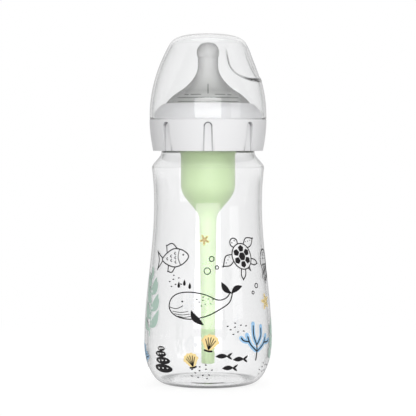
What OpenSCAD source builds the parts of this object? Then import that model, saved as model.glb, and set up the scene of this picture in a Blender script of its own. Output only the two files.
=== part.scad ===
// Wide-neck feeding bottle with an internal air vent, a screw collar, a teat and a travel cap.
// Millimetres, +Z up. The origin is on the standing plane, on the bottle's axis. The front faces -Y.
// Every outline is a list of [radius, height] points turned about the Z axis.

/* [Bottle] */
// Radius of the belly, the widest part
belly_r = 34.8; // [31:0.1:42]
// Height of the belly's widest point above the table
belly_h = 24.5; // [20:0.5:32]
// Radius of the waist
waist_r = 29.4; // [26:0.1:36]
// Height from the belly up to the waist
grip_h = 73.5; // [50:0.5:95]
// Radius of the shoulder's edge
shoulder_r = 30.6; // [27:0.1:38]
// Height from the waist up to the shoulder's edge
flare_h = 20; // [14:0.5:28]
// Height of the sloping shoulder, from its edge to the neck
shoulder_h = 8.3; // [6:0.1:14]
// Inward slope of the shoulder just above its edge
shoulder_break = 0.16; // [0:0.01:0.4]
// Outer radius of the neck
neck_r = 25.4; // [21:0.1:27]
// Height of the neck above the shoulder
neck_h = 20.8; // [17:0.1:26]
// Thickness of the side wall
wall_t = 1.25; // [0.8:0.05:2]
// Thickness of the neck's wall
neck_t = 1.6; // [1.2:0.05:2.4]

/* [Base] */
// Outer radius of the flat ring that the bottle stands on
foot_r = 21.9; // [17:0.1:26]
// Width of the flat ring
foot_w = 1.8; // [1:0.1:3]
// How far the heel runs out flat from the ring, as the length of its curve's handle
heel_run = 8; // [4:0.1:12]
// How far the heel's curve reaches down from the belly, as the length of its handle
heel_rise = 14.5; // [6:0.5:18]
// Height of the hollow under the base
base_rise = 1.2; // [0.5:0.1:3]
// Thickness of the floor
floor_t = 1.5; // [1:0.1:3]
// Radial width of the step between the raised floor and the heel
floor_step = 1.4; // [0.8:0.1:3]

/* [Vent reservoir] */
// Outer radius of the bulb
bulb_r = 14.8; // [12:0.1:16]
// How much wider the bulb's mouth is than the bulb
mouth_flare = 0.7; // [0.2:0.1:1]
// Height of the mouth's straight band
mouth_h = 11.5; // [8:0.5:16]
// Height over which the bulb widens to its mouth
mouth_blend = 4; // [2:0.5:6]
// Height from the mouth's edge down to the funnel
bulb_h = 30; // [22:0.5:40]
// Height of the funnel between the bulb and the tube
funnel_h = 19.5; // [14:0.5:28]
// Handle of the funnel's curve below the bulb
funnel_top = 9; // [5:0.5:12]
// Handle of the funnel's curve above the tube
funnel_foot = 7; // [4:0.5:10]
// Outer radius of the tube where it leaves the funnel
tube_r = 4.7; // [4:0.1:6]
// Outer radius of the tube's lower end
tube_end_r = 3.6; // [3.2:0.1:5]
// Wall of the reservoir and its tube
reservoir_t = 1.1; // [0.8:0.05:1.5]
// Gap between the tube's end and the bottle's floor
tube_gap = 8.2; // [7:0.1:14]

/* [Vent insert] */
// Thickness of the flange that lies on the neck's rim
insert_t = 1.4; // [1:0.1:2.2]
// Depth of the reservoir's mouth below the neck's rim
hub_drop = 8.4; // [6:0.1:12]
// Thickness of the hub's disc
hub_t = 2.2; // [1.4:0.1:3]
// Length of the plug inside the reservoir's mouth
plug_h = 6.5; // [4:0.1:8]
// Wall of the plug and of the skirt inside the neck
insert_wall = 1.25; // [0.9:0.05:1.6]
// Number of spokes between the hub and the skirt
spoke_count = 4; // [3:1:6]
// Width of a spoke
spoke_w = 3.4; // [2.8:0.1:5]
// Height of a spoke
spoke_h = 4.2; // [3.4:0.1:5]
// Radius of the air channel
air_r = 0.8; // [0.5:0.05:1]
// Depth of the air notch in the skirt and under the flange
notch_depth = 0.6; // [0.4:0.05:0.8]
// Outer radius of the inner air tube
stub_r = 2.9; // [2:0.1:4]
// Length of the inner air tube below the hub
stub_h = 19; // [10:0.5:26]
// How much wider than the inner tube the boss above the hub is, on the radius
boss_step = 1.6; // [1:0.1:3]

/* [Nipple] */
// Thickness of the flange that the collar clamps
flange_t = 1.8; // [1.2:0.1:2.6]
// Wall of the nipple
nipple_t = 1.6; // [1.2:0.1:2.2]
// Height of the tip above the flange
nipple_h = 35.8; // [30:0.1:42]
// Slope of radius over height where the skirt leaves the collar's lip
skirt_slope = -0.75; // [-1.2:0.05:-0.4]
// Height above the flange where the skirt turns from bulging to flaring
turn_h = 9.3; // [7:0.1:12]
// Radius of the nipple at that height
turn_r = 15; // [12:0.1:18]
// Slope of radius over height there
turn_slope = -1.7; // [-2:0.05:-1.3]
// Height over which the flare keeps that slope, as the height of its curve's handle
turn_run = 2; // [1:0.1:3]
// Radius of the straight stem
stem_r = 5.5; // [4.5:0.1:7]
// Height above the flange where the stem starts
stem_foot_h = 22.7; // [18:0.1:25]
// How far the flare's curve reaches down from the stem, as the length of its handle
stem_run = 6; // [3:0.5:8]
// Radius of the round tip
tip_r = 6.1; // [5.2:0.1:7.5]
// Radius of the feed hole
feed_r = 0.3; // [0.15:0.05:0.8]

/* [Collar] */
// Radial room for the screw thread between the neck and the collar
thread_room = 1.8; // [1.4:0.1:2.4]
// Wall of the collar at the cap's ledge
collar_t = 4.6; // [3.6:0.1:6]
// How much narrower the collar is at its lower edge than at the ledge
collar_taper = 1.75; // [0.5:0.05:2.2]
// Height of the bevel round the lower edge
collar_bevel_h = 0.8; // [0.5:0.1:1.5]
// Gap between the collar's lower edge and the bottle's shoulder
collar_gap = 0.7; // [0.4:0.1:2]
// Height of the rounded shoulder, from the cap's ledge to the lip's top
crown_h = 8.6; // [6:0.1:9.5]
// Share of that height over which the shoulder's side stays upright
crown_upright = 0.4; // [0.2:0.05:0.5]
// Share of the way out from the lip at which the shoulder's top bends down
crown_bend = 0.55; // [0.4:0.05:0.7]
// Share of the height that the shoulder's top has dropped by there
crown_dip = 0.2; // [0.1:0.05:0.3]
// Thickness of the lip that holds the nipple
lip_t = 2.3; // [1.6:0.1:3]
// Radial width of the lip over the nipple's flange
lip_w = 1.3; // [0.9:0.1:2]
// Number of grip grooves
groove_count = 8; // [4:1:12]
// Width of a groove at its arched top
groove_w = 3.6; // [2.4:0.1:5]
// How much wider a groove is at its foot
groove_spread = 0.8; // [0:0.1:2]
// Gap between a groove's arched top and the ledge
groove_top_gap = 1.9; // [1:0.1:4]
// Depth of a groove's floor below the grip's narrow lower edge
groove_sink = 0.1; // [0.05:0.05:0.3]

/* [Travel cap] */
// Wall of the cap
cap_t = 1.25; // [0.9:0.05:1.8]
// Free height between the nipple's tip and the inside of the cap
headroom = 3.3; // [1.5:0.1:10]
// Straight height at the cap's rim
cap_straight_h = 2; // [1:0.5:6]
// How much the side draws in between the rim and the crown
cap_draw = 10.7; // [6:0.1:14]
// Height of the rounded crown
dome_h = 6.1; // [4:0.1:9]
// Share of the crown's height over which the side's slope carries on
dome_side = 0.52; // [0.35:0.01:0.65]
// Share of the crown's radius over which its top stays flat
dome_flat = 0.77; // [0.6:0.01:0.85]
// Azimuth of the thumb recess, from the front towards +X
recess_turn = 69; // [0:1:359]
// Depth of the thumb recess
recess_depth = 0.6; // [0.3:0.05:0.8]
// Half of the recess's width, straight across
recess_half_w = 17.4; // [10:0.1:20]
// Height of the recess's lower edge above the cap's rim
recess_foot_h = 21.8; // [14:0.1:26]
// Height of the round lower end of the recess
recess_bow_h = 10.2; // [6:0.1:14]
// Power of that end's outline: 1 makes an ellipse, and less makes it fuller
recess_fullness = 0.77; // [0.6:0.01:1]
// Height over which the recess fades out below the crown
recess_fade_h = 7; // [3:0.5:10]
// Share of its depth by which the fade runs on past zero, so that it ends below the crown
recess_over = 0.2; // [0.1:0.05:0.4]

/* [Clearances] */
// How far the flanges on the rim stay inside the neck's outer edge
flange_inset = 0.4; // [0.1:0.1:1]
// Gap between the insert's skirt and the neck
skirt_gap = 0.35; // [0.2:0.05:0.6]
// Gap between the plug and the reservoir's mouth
plug_gap = 0.15; // [0.1:0.05:0.3]
// Gap round the flanges inside the collar
flange_gap = 0.35; // [0.2:0.05:0.6]
// Gap between the nipple and the collar's lip, beside it and at its top
lip_gap = 0.4; // [0.2:0.05:0.8]
// Gap between the cap and the collar's shoulder
cap_gap = 0.65; // [0.3:0.05:1]

/* [Hidden] */
$fn = 120;

// Radius of the small roundings on free edges
edge_r = 0.5;
// Length by which a cut passes the surface it cuts
past = 1;

// Heights of the stack, from the table up
waist_z = belly_h + grip_h;
shoulder_z = waist_z + flare_h;
neck_z = shoulder_z + shoulder_h;
rim_z = neck_z + neck_h;
flange_z = rim_z + insert_t;
lip_z = flange_z + flange_t;
lip_top_z = lip_z + lip_t;
ledge_z = lip_top_z - crown_h;
collar_z = neck_z + collar_gap;
tip_z = lip_z + nipple_h;
cap_inner_z = tip_z + headroom;
cap_top_z = cap_inner_z + cap_t;
floor_z = base_rise + floor_t;

// Radii that the fitted pieces share
neck_inner_r = neck_r - neck_t;
seat_r = neck_r - flange_inset;
skirt_r = neck_inner_r - skirt_gap;
seat_bore_r = seat_r + flange_gap;
lip_r = seat_r - lip_w;
nipple_foot_r = lip_r - lip_gap;
bore_r = neck_r + thread_room;
collar_r = bore_r + collar_t;
cap_bore_r = collar_r - cap_t;
crown_r = cap_bore_r - cap_gap;

// Places of the vent
mouth_z = rim_z - hub_drop;
mouth_r = bulb_r + mouth_flare;
mouth_inner_r = mouth_r - reservoir_t;
funnel_z = mouth_z - bulb_h;
tube_z = funnel_z - funnel_h;
tube_end_z = floor_z + tube_gap;

// Blend from 0 to 1 with level ends
function ease(s) = let (c = min(max(s, 0), 1)) c * c * (3 - 2 * c);

// Points of a cubic curve from p[0] to p[3] with the handles p[1] and p[2]
function bezier(p, n) = [
    for (i = [0:n])
        let (t = i / n, u = 1 - t)
            u * u * u * p[0] + 3 * u * u * t * p[1] + 3 * u * t * t * p[2] + t * t * t * p[3]
];

// Points of a curve from a to b that leaves and arrives with the given slopes of radius over height
function swept(a, b, slope_a, slope_b, n) =
    let (third = (b[1] - a[1]) / 3)
        bezier([a, a + third * [slope_a, 1], b - third * [slope_b, 1], b], n);

// Points of an arc of radius r about c, from angle a to angle b
function arc(c, r, a, b, n) = [
    for (i = [0:n])
        let (t = a + (b - a) * i / n)
            c + r * [cos(t), sin(t)]
];

// A line without its first point, and a line from end to start
function rest(line) = [for (i = [1:len(line) - 1]) line[i]];
function back(line) = [for (i = [len(line) - 1:-1:0]) line[i]];

// Unit vector to the left of a line at point i, which is towards the axis on a line that rises,
// and straight down where the line ends on the axis
function left(line, i) =
    let (
        a = line[max(i - 1, 0)],
        b = line[min(i + 1, len(line) - 1)],
        t = (b - a) / norm(b - a)
    )
        line[i][0] == 0 ? [0, -1] : [-t[1], t[0]];

// A line moved to its left by d
function inset(line, d) = [for (i = [0:len(line) - 1]) line[i] + d * left(line, i)];

// The solid that an outline makes when it is turned about the axis
module turned(outline) {
    rotate_extrude() polygon(outline);
}

// ---------------------------------------------------------------- bottle

flare_slope = 2 * (shoulder_r - waist_r) / flare_h;

bottle_side = concat(
    bezier([
        [foot_r, 0],
        [foot_r + heel_run, 0],
        [belly_r, belly_h - heel_rise],
        [belly_r, belly_h]
    ], 16),
    rest(swept([belly_r, belly_h], [waist_r, waist_z], 0, 0, 18)),
    rest(swept([waist_r, waist_z], [shoulder_r, shoulder_z], 0, flare_slope, 8)),
    rest(swept([shoulder_r, shoulder_z], [neck_r, neck_z], -shoulder_break, 0, 12))
);

neck_rim = concat(
    arc([neck_r - edge_r, rim_z - edge_r], edge_r, 0, 90, 4),
    arc([neck_inner_r + edge_r, rim_z - edge_r], edge_r, 90, 180, 4)
);

module bottle() {
    foot_inner_r = foot_r - foot_w;
    color([0.90, 0.93, 0.94, 0.35])
        turned(concat(
            [[0, base_rise], [foot_inner_r - base_rise, base_rise], [foot_inner_r, 0]],
            bottle_side,
            neck_rim,
            [[neck_inner_r, neck_z + neck_t]],
            back(inset(bottle_side, wall_t)),
            [[foot_r - floor_step, floor_z], [0, floor_z]]
        ));
}

// ---------------------------------------------------------------- vent reservoir

// The outside from the tube's end up to the mouth's band
reservoir_side = concat(
    [[tube_end_r, tube_end_z + edge_r], [tube_r, tube_z]],
    rest(bezier([
        [tube_r, tube_z],
        [tube_r, tube_z + funnel_foot],
        [bulb_r, funnel_z - funnel_top],
        [bulb_r, funnel_z]
    ], 18)),
    swept([bulb_r, mouth_z - mouth_h - mouth_blend], [mouth_r, mouth_z - mouth_h], 0, 0, 6)
);

module vent_reservoir() {
    color([0.80, 0.96, 0.69, 0.85])
        turned(concat(
            [[tube_end_r - reservoir_t, tube_end_z]],
            arc([tube_end_r - edge_r, tube_end_z + edge_r], edge_r, -90, -10, 3),
            reservoir_side,
            arc([mouth_r - edge_r, mouth_z - edge_r], edge_r, 0, 90, 3),
            [[mouth_inner_r, mouth_z]],
            back(inset(reservoir_side, reservoir_t))
        ));
}

// ---------------------------------------------------------------- vent insert

plug_r = mouth_inner_r - plug_gap;
air_z = mouth_z + spoke_h / 2 + air_r / 2;
boss_r = stub_r + boss_step;
notch_w = 2 * air_r;

// The flange on the rim and the skirt that centres it in the neck
module insert_ring() {
    turned([
        [skirt_r - insert_wall, mouth_z],
        [skirt_r, mouth_z],
        [skirt_r, rim_z],
        [seat_r, rim_z],
        [seat_r, flange_z],
        [skirt_r - insert_wall, flange_z]
    ]);
}

// The disc that closes the reservoir's mouth, its plug, and the boss and inner tube of the air channel
module insert_hub() {
    turned([
        [0, mouth_z - stub_h],
        [stub_r, mouth_z - stub_h],
        [stub_r, mouth_z],
        [plug_r - insert_wall, mouth_z],
        [plug_r - insert_wall, mouth_z - plug_h],
        [plug_r, mouth_z - plug_h],
        [plug_r, mouth_z],
        [mouth_r, mouth_z],
        [mouth_r, mouth_z + hub_t],
        [boss_r, mouth_z + hub_t],
        [boss_r, mouth_z + spoke_h],
        [0, mouth_z + spoke_h]
    ]);
}

module insert_spoke() {
    reach = skirt_r - insert_wall / 2;
    translate([0, -spoke_w / 2, mouth_z])
        cube([reach, spoke_w, spoke_h]);
}

// Air comes in under the flange, down the outside of the skirt, in through one spoke and down the tube
module air_channel() {
    translate([0, 0, mouth_z - stub_h - past])
        cylinder(r = air_r, h = air_z - mouth_z + stub_h + past);
    translate([0, 0, air_z])
        rotate([0, 90, 0])
            cylinder(r = air_r, h = neck_r);
    translate([skirt_r - notch_depth, -notch_w / 2, air_z])
        cube([notch_depth + past, notch_w, rim_z + notch_depth - air_z]);
    translate([skirt_r - notch_depth, -notch_w / 2, rim_z - past])
        cube([neck_r, notch_w, notch_depth + past]);
}

module vent_insert() {
    color([0.72, 0.93, 0.60])
        difference() {
            union() {
                insert_ring();
                insert_hub();
                for (i = [0:spoke_count - 1])
                    rotate([0, 0, i * 360 / spoke_count])
                        insert_spoke();
            }
            air_channel();
        }
}

// ---------------------------------------------------------------- nipple

ball_z = tip_z - tip_r;
skirt_top = [turn_r, lip_z + turn_h];
skirt_foot = [nipple_foot_r, lip_top_z - lip_gap];

nipple_side = concat(
    swept(skirt_foot, skirt_top, skirt_slope, turn_slope, 12),
    rest(bezier([
        skirt_top,
        skirt_top + turn_run * [turn_slope, 1],
        [stem_r, lip_z + stem_foot_h - stem_run],
        [stem_r, lip_z + stem_foot_h]
    ], 14))
);

// Angle at which the round tip meets a stem of radius s, for a ball of radius r
function meet(s, r) = -acos(s / r);

module nipple() {
    stem_inner_r = stem_r - nipple_t;
    ball_inner_r = tip_r - nipple_t;
    flange_inner_r = nipple_foot_r - nipple_t;
    hole_top = acos(feed_r / tip_r);
    hole_foot = acos(feed_r / ball_inner_r);
    color([0.88, 0.88, 0.87, 0.75])
        turned(concat(
            [[flange_inner_r, flange_z], [seat_r, flange_z], [seat_r, lip_z], [nipple_foot_r, lip_z]],
            nipple_side,
            arc([0, ball_z], tip_r, meet(stem_r, tip_r), hole_top, 20),
            back(arc([0, ball_z], ball_inner_r, meet(stem_inner_r, ball_inner_r), hole_foot, 16)),
            back(inset(nipple_side, nipple_t))
        ));
}

// ---------------------------------------------------------------- collar

collar_foot_r = collar_r - collar_taper;
// Twice the mean slope, so that the grip runs out upright at the ledge
grip_slope = 2 * collar_taper / (ledge_z - collar_z);

// The grip surface from the bevel up to the ledge
collar_side = swept([collar_foot_r, collar_z + collar_bevel_h], [collar_r, ledge_z - edge_r], grip_slope, 0, 12);

// The rounded shoulder inside the cap, from the ledge to the lip
collar_crown = bezier([
    [crown_r, ledge_z + edge_r],
    [crown_r, ledge_z + crown_upright * crown_h],
    [lip_r + crown_bend * (crown_r - lip_r), lip_top_z - crown_dip * crown_h],
    [lip_r + edge_r / 2, lip_top_z]
], 14);

// One grip groove: an upright slot with an arched top, cut to a round floor
module grip_groove() {
    top_z = ledge_z - groove_top_gap;
    half_top = groove_w / 2;
    half_foot = half_top + groove_spread / 2;
    rotate([90, 0, 0])
        linear_extrude(collar_r + past)
            polygon(concat(
                [[-half_foot, collar_z - past], [half_foot, collar_z - past]],
                arc([0, top_z - half_top], half_top, 0, 180, 16)
            ));
}

module collar() {
    groove_floor_r = collar_foot_r - groove_sink;
    color([0.95, 0.95, 0.96])
        difference() {
            turned(concat(
                [[bore_r + edge_r, collar_z], [collar_foot_r - edge_r, collar_z]],
                collar_side,
                arc([collar_r - edge_r, ledge_z - edge_r], edge_r, 0, 90, 3),
                arc([crown_r + edge_r, ledge_z + edge_r], edge_r, -90, -180, 3),
                rest(collar_crown),
                [[lip_r, lip_top_z - edge_r / 2]],
                [[lip_r, lip_z], [seat_bore_r, lip_z], [seat_bore_r, flange_z - edge_r]],
                [[bore_r, flange_z - edge_r - (bore_r - seat_bore_r)], [bore_r, collar_z + edge_r]]
            ));
            difference() {
                for (i = [0:groove_count - 1])
                    rotate([0, 0, i * 360 / groove_count])
                        grip_groove();
                translate([0, 0, collar_z - 2 * past])
                    cylinder(r = groove_floor_r, h = cap_top_z);
            }
        }
}

// ---------------------------------------------------------------- travel cap

dome_z = cap_top_z - dome_h;
dome_r = collar_r - cap_draw;
dome_slope = -2 * cap_draw / (dome_z - ledge_z - cap_straight_h);

cap_side = concat(
    [[collar_r, ledge_z]],
    swept([collar_r, ledge_z + cap_straight_h], [dome_r, dome_z], 0, dome_slope, 24),
    rest(bezier([
        [dome_r, dome_z],
        [dome_r, dome_z] + dome_side * dome_h * [dome_slope, 1],
        [dome_flat * dome_r, cap_top_z],
        [0, cap_top_z]
    ], 16))
);

// Depth of the recess at height z, which passes zero a little below the crown
function recess_at(z) =
    let (kept = 1 - ease((z - dome_z + recess_fade_h) / recess_fade_h))
        recess_depth * ((1 + recess_over) * kept - recess_over);

// The cap's outer line set in by d and by the recess's own depth there
function recess_line(d) = [
    for (i = [0:len(cap_side) - 1])
        cap_side[i] + (d + recess_at(cap_side[i][1])) * left(cap_side, i)
];

// The space between two lines that end on the axis, turned
module between(outer, inner) {
    turned(concat(outer, back(inner)));
}

// The recess's outline seen from its front: a round foot below upright sides, drawn outwards
module recess_outline(grow) {
    half = recess_half_w + grow;
    bow_z = ledge_z + recess_foot_h + recess_bow_h;
    bow_points = 32;
    rotate([0, 0, recess_turn - 90])
        rotate([90, 0, 90])
            linear_extrude(collar_r + past)
                polygon(concat(
                    [[half, cap_top_z + past], [-half, cap_top_z + past]],
                    [
                        for (a = [180:180 / bow_points:360])
                            [
                                half * sign(cos(a)) * pow(abs(cos(a)), recess_fullness),
                                bow_z - (recess_bow_h + grow) * pow(abs(sin(a)), recess_fullness)
                            ]
                    ]
                ));
}

module travel_cap() {
    inner = inset(cap_side, cap_t);
    color([0.92, 0.93, 0.94, 0.35])
        difference() {
            union() {
                between(cap_side, inner);
                intersection() {
                    between(inset(cap_side, cap_t / 2), recess_line(cap_t));
                    recess_outline(recess_depth);
                }
            }
            intersection() {
                between(inset(cap_side, -past), recess_line(0));
                recess_outline(0);
            }
        }
}

bottle();
vent_reservoir();
vent_insert();
nipple();
collar();
travel_cap();
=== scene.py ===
"""Looks of a vented feeding bottle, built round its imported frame.

Sizes in the classes are in millimetres and meshes are written in metres. Heights run up from the standing
plane. An azimuth is counted from the front (-Y) towards +X.
"""

from __future__ import annotations

import logging
import math
from collections.abc import Callable, Sequence
from dataclasses import dataclass
from enum import Enum

import bmesh
import bpy
import numpy as np
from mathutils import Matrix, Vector


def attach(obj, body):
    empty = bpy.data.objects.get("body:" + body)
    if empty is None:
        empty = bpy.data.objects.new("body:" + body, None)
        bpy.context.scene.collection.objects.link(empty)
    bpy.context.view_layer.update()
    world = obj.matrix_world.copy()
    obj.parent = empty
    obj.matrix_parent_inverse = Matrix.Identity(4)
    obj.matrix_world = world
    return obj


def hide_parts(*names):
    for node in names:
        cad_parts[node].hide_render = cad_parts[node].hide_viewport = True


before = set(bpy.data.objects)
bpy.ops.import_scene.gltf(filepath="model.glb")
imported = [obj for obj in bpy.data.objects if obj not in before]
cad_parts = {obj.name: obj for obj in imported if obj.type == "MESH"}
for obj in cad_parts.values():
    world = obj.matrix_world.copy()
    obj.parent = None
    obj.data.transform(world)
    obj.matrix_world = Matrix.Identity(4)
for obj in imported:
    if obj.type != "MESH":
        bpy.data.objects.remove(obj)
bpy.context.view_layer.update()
MM = 0.001
log = logging.getLogger("feeding_bottle")


# ------------------------------------------------------------------ lines and curves


def ease(t: np.ndarray | float) -> np.ndarray | float:
    """Blend from 0 to 1 with level ends: 3 t squared minus 2 t cubed."""
    t = np.clip(t, 0.0, 1.0)
    return t * t * (3 - 2 * t)


def bezier(handles: Sequence[Sequence[float]], count: int) -> np.ndarray:
    """Cubic curve: each point weighs the four handles by (1-t)^3, 3(1-t)^2 t, 3(1-t)t^2 and t^3.

    Args:
        handles: The start, its handle, the end's handle and the end.
        count: Number of steps.

    Returns:
        The points, one row each.
    """
    p = np.asarray(handles, float)
    t = np.linspace(0, 1, count + 1)[:, None]
    return (1 - t) ** 3 * p[0] + 3 * (1 - t) ** 2 * t * p[1] + 3 * (1 - t) * t**2 * p[2] + t**3 * p[3]


def swept(
    start: Sequence[float], end: Sequence[float], leave: float, arrive: float, count: int
) -> np.ndarray:
    """Curve from start to end with a given slope of radius over height at each end.

    Args:
        start: Radius and height where it starts.
        end: Radius and height where it ends.
        leave: Slope at the start.
        arrive: Slope at the end.
        count: Number of steps.

    Returns:
        The points, one row each.
    """
    a, b = np.asarray(start, float), np.asarray(end, float)
    third = (b[1] - a[1]) / 3
    return bezier([a, a + third * np.array([leave, 1]), b - third * np.array([arrive, 1]), b], count)


def arc(centre: Sequence[float], radius: float, start: float, end: float, count: int) -> np.ndarray:
    """Points of a circle about centre, from angle start to angle end in degrees."""
    a = np.radians(np.linspace(start, end, count + 1))
    return np.asarray(centre, float) + radius * np.stack([np.cos(a), np.sin(a)], 1)


def chain(*lines: Sequence) -> np.ndarray:
    """Joins lines end to end and drops the points that repeat.

    Args:
        lines: Lines, or single points.

    Returns:
        The joined line.
    """
    points = np.vstack([np.atleast_2d(np.asarray(line, float)) for line in lines])
    step = np.linalg.norm(np.diff(points, axis=0), axis=1)
    return points[np.r_[True, step > 1e-4]]


def leftward(line: np.ndarray) -> np.ndarray:
    """Unit vectors to the left of a line: the chord from point before to point after, turned by 90 degrees.

    Args:
        line: Points of the line.

    Returns:
        One unit vector for each point.
    """
    chord = np.vstack([line[1] - line[0], line[2:] - line[:-2], line[-1] - line[-2]])
    chord /= np.linalg.norm(chord, axis=1, keepdims=True)
    return np.stack([-chord[:, 1], chord[:, 0]], 1)


def inset(line: np.ndarray, depth: float | np.ndarray) -> np.ndarray:
    """The line moved to its left by depth, and straight down where it ends on the axis.

    Args:
        line: Points of the line.
        depth: Distance, one for all points or one for each.

    Returns:
        The moved points.
    """
    side = leftward(line)
    side[line[:, 0] < 1e-9] = (0, -1)
    return line + np.reshape(depth, (-1, 1)) * side


def softened(line: np.ndarray, radius: float) -> np.ndarray:
    """Rounds the corners of a line that turn by 25 degrees or more, with a quadratic curve of three steps.

    Args:
        line: The points.
        radius: How far from the corner the rounding starts and ends, at most 0.45 of either step beside it.

    Returns:
        The rounded line.
    """
    steps, bend = 3, math.radians(25)
    at = line[1:-1]
    before, after = line[:-2] - at, line[2:] - at
    room_before = np.linalg.norm(before, axis=1, keepdims=True)
    room_after = np.linalg.norm(after, axis=1, keepdims=True)
    before, after = before / room_before, after / room_after
    cut = np.minimum(radius, 0.45 * np.minimum(room_before, room_after))
    sharp = (before * after).sum(1) > -math.cos(bend)
    t = np.linspace(0, 1, steps + 1)[None, :, None]
    start, end = (at + before * cut)[:, None], (at + after * cut)[:, None]
    curve = (1 - t) ** 2 * start + 2 * t * (1 - t) * at[:, None] + t**2 * end
    return chain(line[:1], *[curve[i] if sharp[i] else at[i] for i in range(len(at))], line[-1:])


def resampled(line: np.ndarray, longest: float) -> np.ndarray:
    """The same line with points added, so that no step is longer than the given length.

    Args:
        line: Points of the line.
        longest: Greatest length of a step.

    Returns:
        The points with the added ones.
    """
    steps = np.linalg.norm(np.diff(line, axis=0), axis=1)
    parts = [
        np.linspace(a, b, max(1, math.ceil(s / longest)), endpoint=False)
        for a, b, s in zip(line[:-1], line[1:], steps)
    ]
    return np.vstack([*parts, line[-1:]])


# ------------------------------------------------------------------ meshes


class Shell:
    """Gathers grids of points in millimetres into one mesh."""

    def __init__(self) -> None:
        """Starts with no points."""
        self.points: list[np.ndarray] = []
        self.quads: list[np.ndarray] = []
        self.shades: list[np.ndarray] = []
        self.count = 0

    def add(self, grid: np.ndarray, round_rows: bool = False, shade: np.ndarray | None = None) -> Shell:
        """Adds a closed grid of points, turned so that its faces point outwards.

        Faces join each point with its neighbours in row and column, and the last column joins the first. The
        sum over all faces of centre times area vector is three times the volume, and where that is negative the
        faces are reversed.

        Args:
            grid: Points as rows x columns x 3.
            round_rows: Whether the last row joins the first.
            shade: Value of the mesh's "shade" attribute by row and column, or none for 0.

        Returns:
            The shell itself.
        """
        self.shades.append(np.zeros(grid.shape[0] * grid.shape[1]) if shade is None else shade.reshape(-1))
        rows, columns = grid.shape[:2]
        index = np.arange(rows * columns).reshape(rows, columns)
        if round_rows:
            index = np.vstack([index, index[:1]])
        index = np.hstack([index, index[:, :1]])
        quads = np.stack([index[:-1, :-1], index[:-1, 1:], index[1:, 1:], index[1:, :-1]], -1).reshape(-1, 4)
        points = grid.reshape(-1, 3)
        corner = (points - points.mean(0))[quads]
        area = np.cross(corner[:, 2] - corner[:, 0], corner[:, 3] - corner[:, 1])
        if (corner.mean(1) * area).sum() < 0:
            quads = quads[:, ::-1]
        self.points.append(points)
        self.quads.append(quads + self.count)
        self.count += len(points)
        return self

    def mesh(self, name: str, crease: float = 38.0) -> bpy.types.Mesh:
        """Writes the mesh in metres, with doubles merged and edges sharper than crease degrees kept crisp.

        Args:
            name: Name of the mesh.
            crease: Angle above which an edge isn't smoothed.

        Returns:
            The mesh.
        """
        points = np.vstack(self.points)
        _, first, same = np.unique(np.round(points, 4), axis=0, return_index=True, return_inverse=True)
        quads = same.reshape(-1)[np.vstack(self.quads)]
        again = quads == np.roll(quads, -1, axis=1)
        faces = quads[~again.any(1)].tolist()
        for side in range(4):
            once = again[:, side] & (again.sum(1) == 1)
            faces += np.delete(quads[once], side, axis=1).tolist()
        mesh = bpy.data.meshes.new(name)
        mesh.from_pydata((points[first] * MM).tolist(), [], faces)
        shade = mesh.attributes.new("shade", "FLOAT", "POINT")
        shade.data.foreach_set("value", np.hstack(self.shades)[first])
        mesh.shade_smooth()
        mesh.set_sharp_from_angle(angle=math.radians(crease))
        return mesh


def turned(radius: np.ndarray, height: np.ndarray, azimuth: np.ndarray) -> np.ndarray:
    """Grid on a surface of revolution: x is radius times sine, y is minus radius times cosine of the azimuth.

    Args:
        radius: Radius by row, or by row and column.
        height: Height by row, or by row and column.
        azimuth: Azimuth by column, or by row and column, in radians.

    Returns:
        Points as rows x columns x 3.
    """
    shape = (len(radius), azimuth.shape[-1])
    r = np.broadcast_to(radius.reshape(shape[0], -1), shape)
    z = np.broadcast_to(height.reshape(shape[0], -1), shape)
    a = np.broadcast_to(azimuth, shape)
    return np.stack([r * np.sin(a), -r * np.cos(a), z], -1)


def whole_turn(count: int) -> np.ndarray:
    """Evenly spaced azimuths of a whole turn, in radians."""
    return np.arange(count) * (2 * math.pi / count)


def ellipse(angle: np.ndarray, width: float, height: float) -> np.ndarray:
    """Points of an ellipse: its half width times the cosine, and its half height times the sine."""
    return np.stack([width * np.cos(angle), height * np.sin(angle)], 1)


def two_pitches(middle: float, reach: float, step: float, far: int) -> np.ndarray:
    """Azimuths close together near one direction and wider apart all round the rest.

    Args:
        middle: The direction, in degrees.
        reach: How far the close ones run to either side of it, in degrees.
        step: Their distance in degrees.
        far: Number of the others.

    Returns:
        The azimuths in radians.
    """
    near = np.arange(-reach, reach + 0.1, step)
    return np.radians(middle + np.r_[near, np.linspace(reach, 360 - reach, far + 2)[1:-1]])


class Body(Enum):
    """The rigid bodies of the frame that pieces ride on."""

    BOTTLE = "bottle"
    RESERVOIR = "vent_reservoir"
    INSERT = "vent_insert"
    NIPPLE = "nipple"
    COLLAR = "collar"
    CAP = "travel_cap"


@dataclass(frozen=True)
class Place:
    """Where a piece belongs: its body, the record's material slot, and the node that it stands for."""

    body: Body
    slot: str
    stands_for: str | None = None


def placed(name: str, mesh: bpy.types.Mesh, place: Place, material: bpy.types.Material) -> bpy.types.Object:
    """Makes the piece, gives it its finish and lets it ride on its body.

    Args:
        name: Name of the piece.
        mesh: Its mesh, in metres and in place.
        place: Its body, slot and node.
        material: Its finish.

    Returns:
        The piece.
    """
    piece = bpy.data.objects.new(name, mesh)
    bpy.context.scene.collection.objects.link(piece)
    mesh.materials.clear()
    mesh.materials.append(material)
    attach(piece, place.body.value)
    if place.stands_for:
        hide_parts(place.stands_for)
    log.info("%s: %d faces on %s", name, len(mesh.polygons), place.body.value)
    return piece


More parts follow.
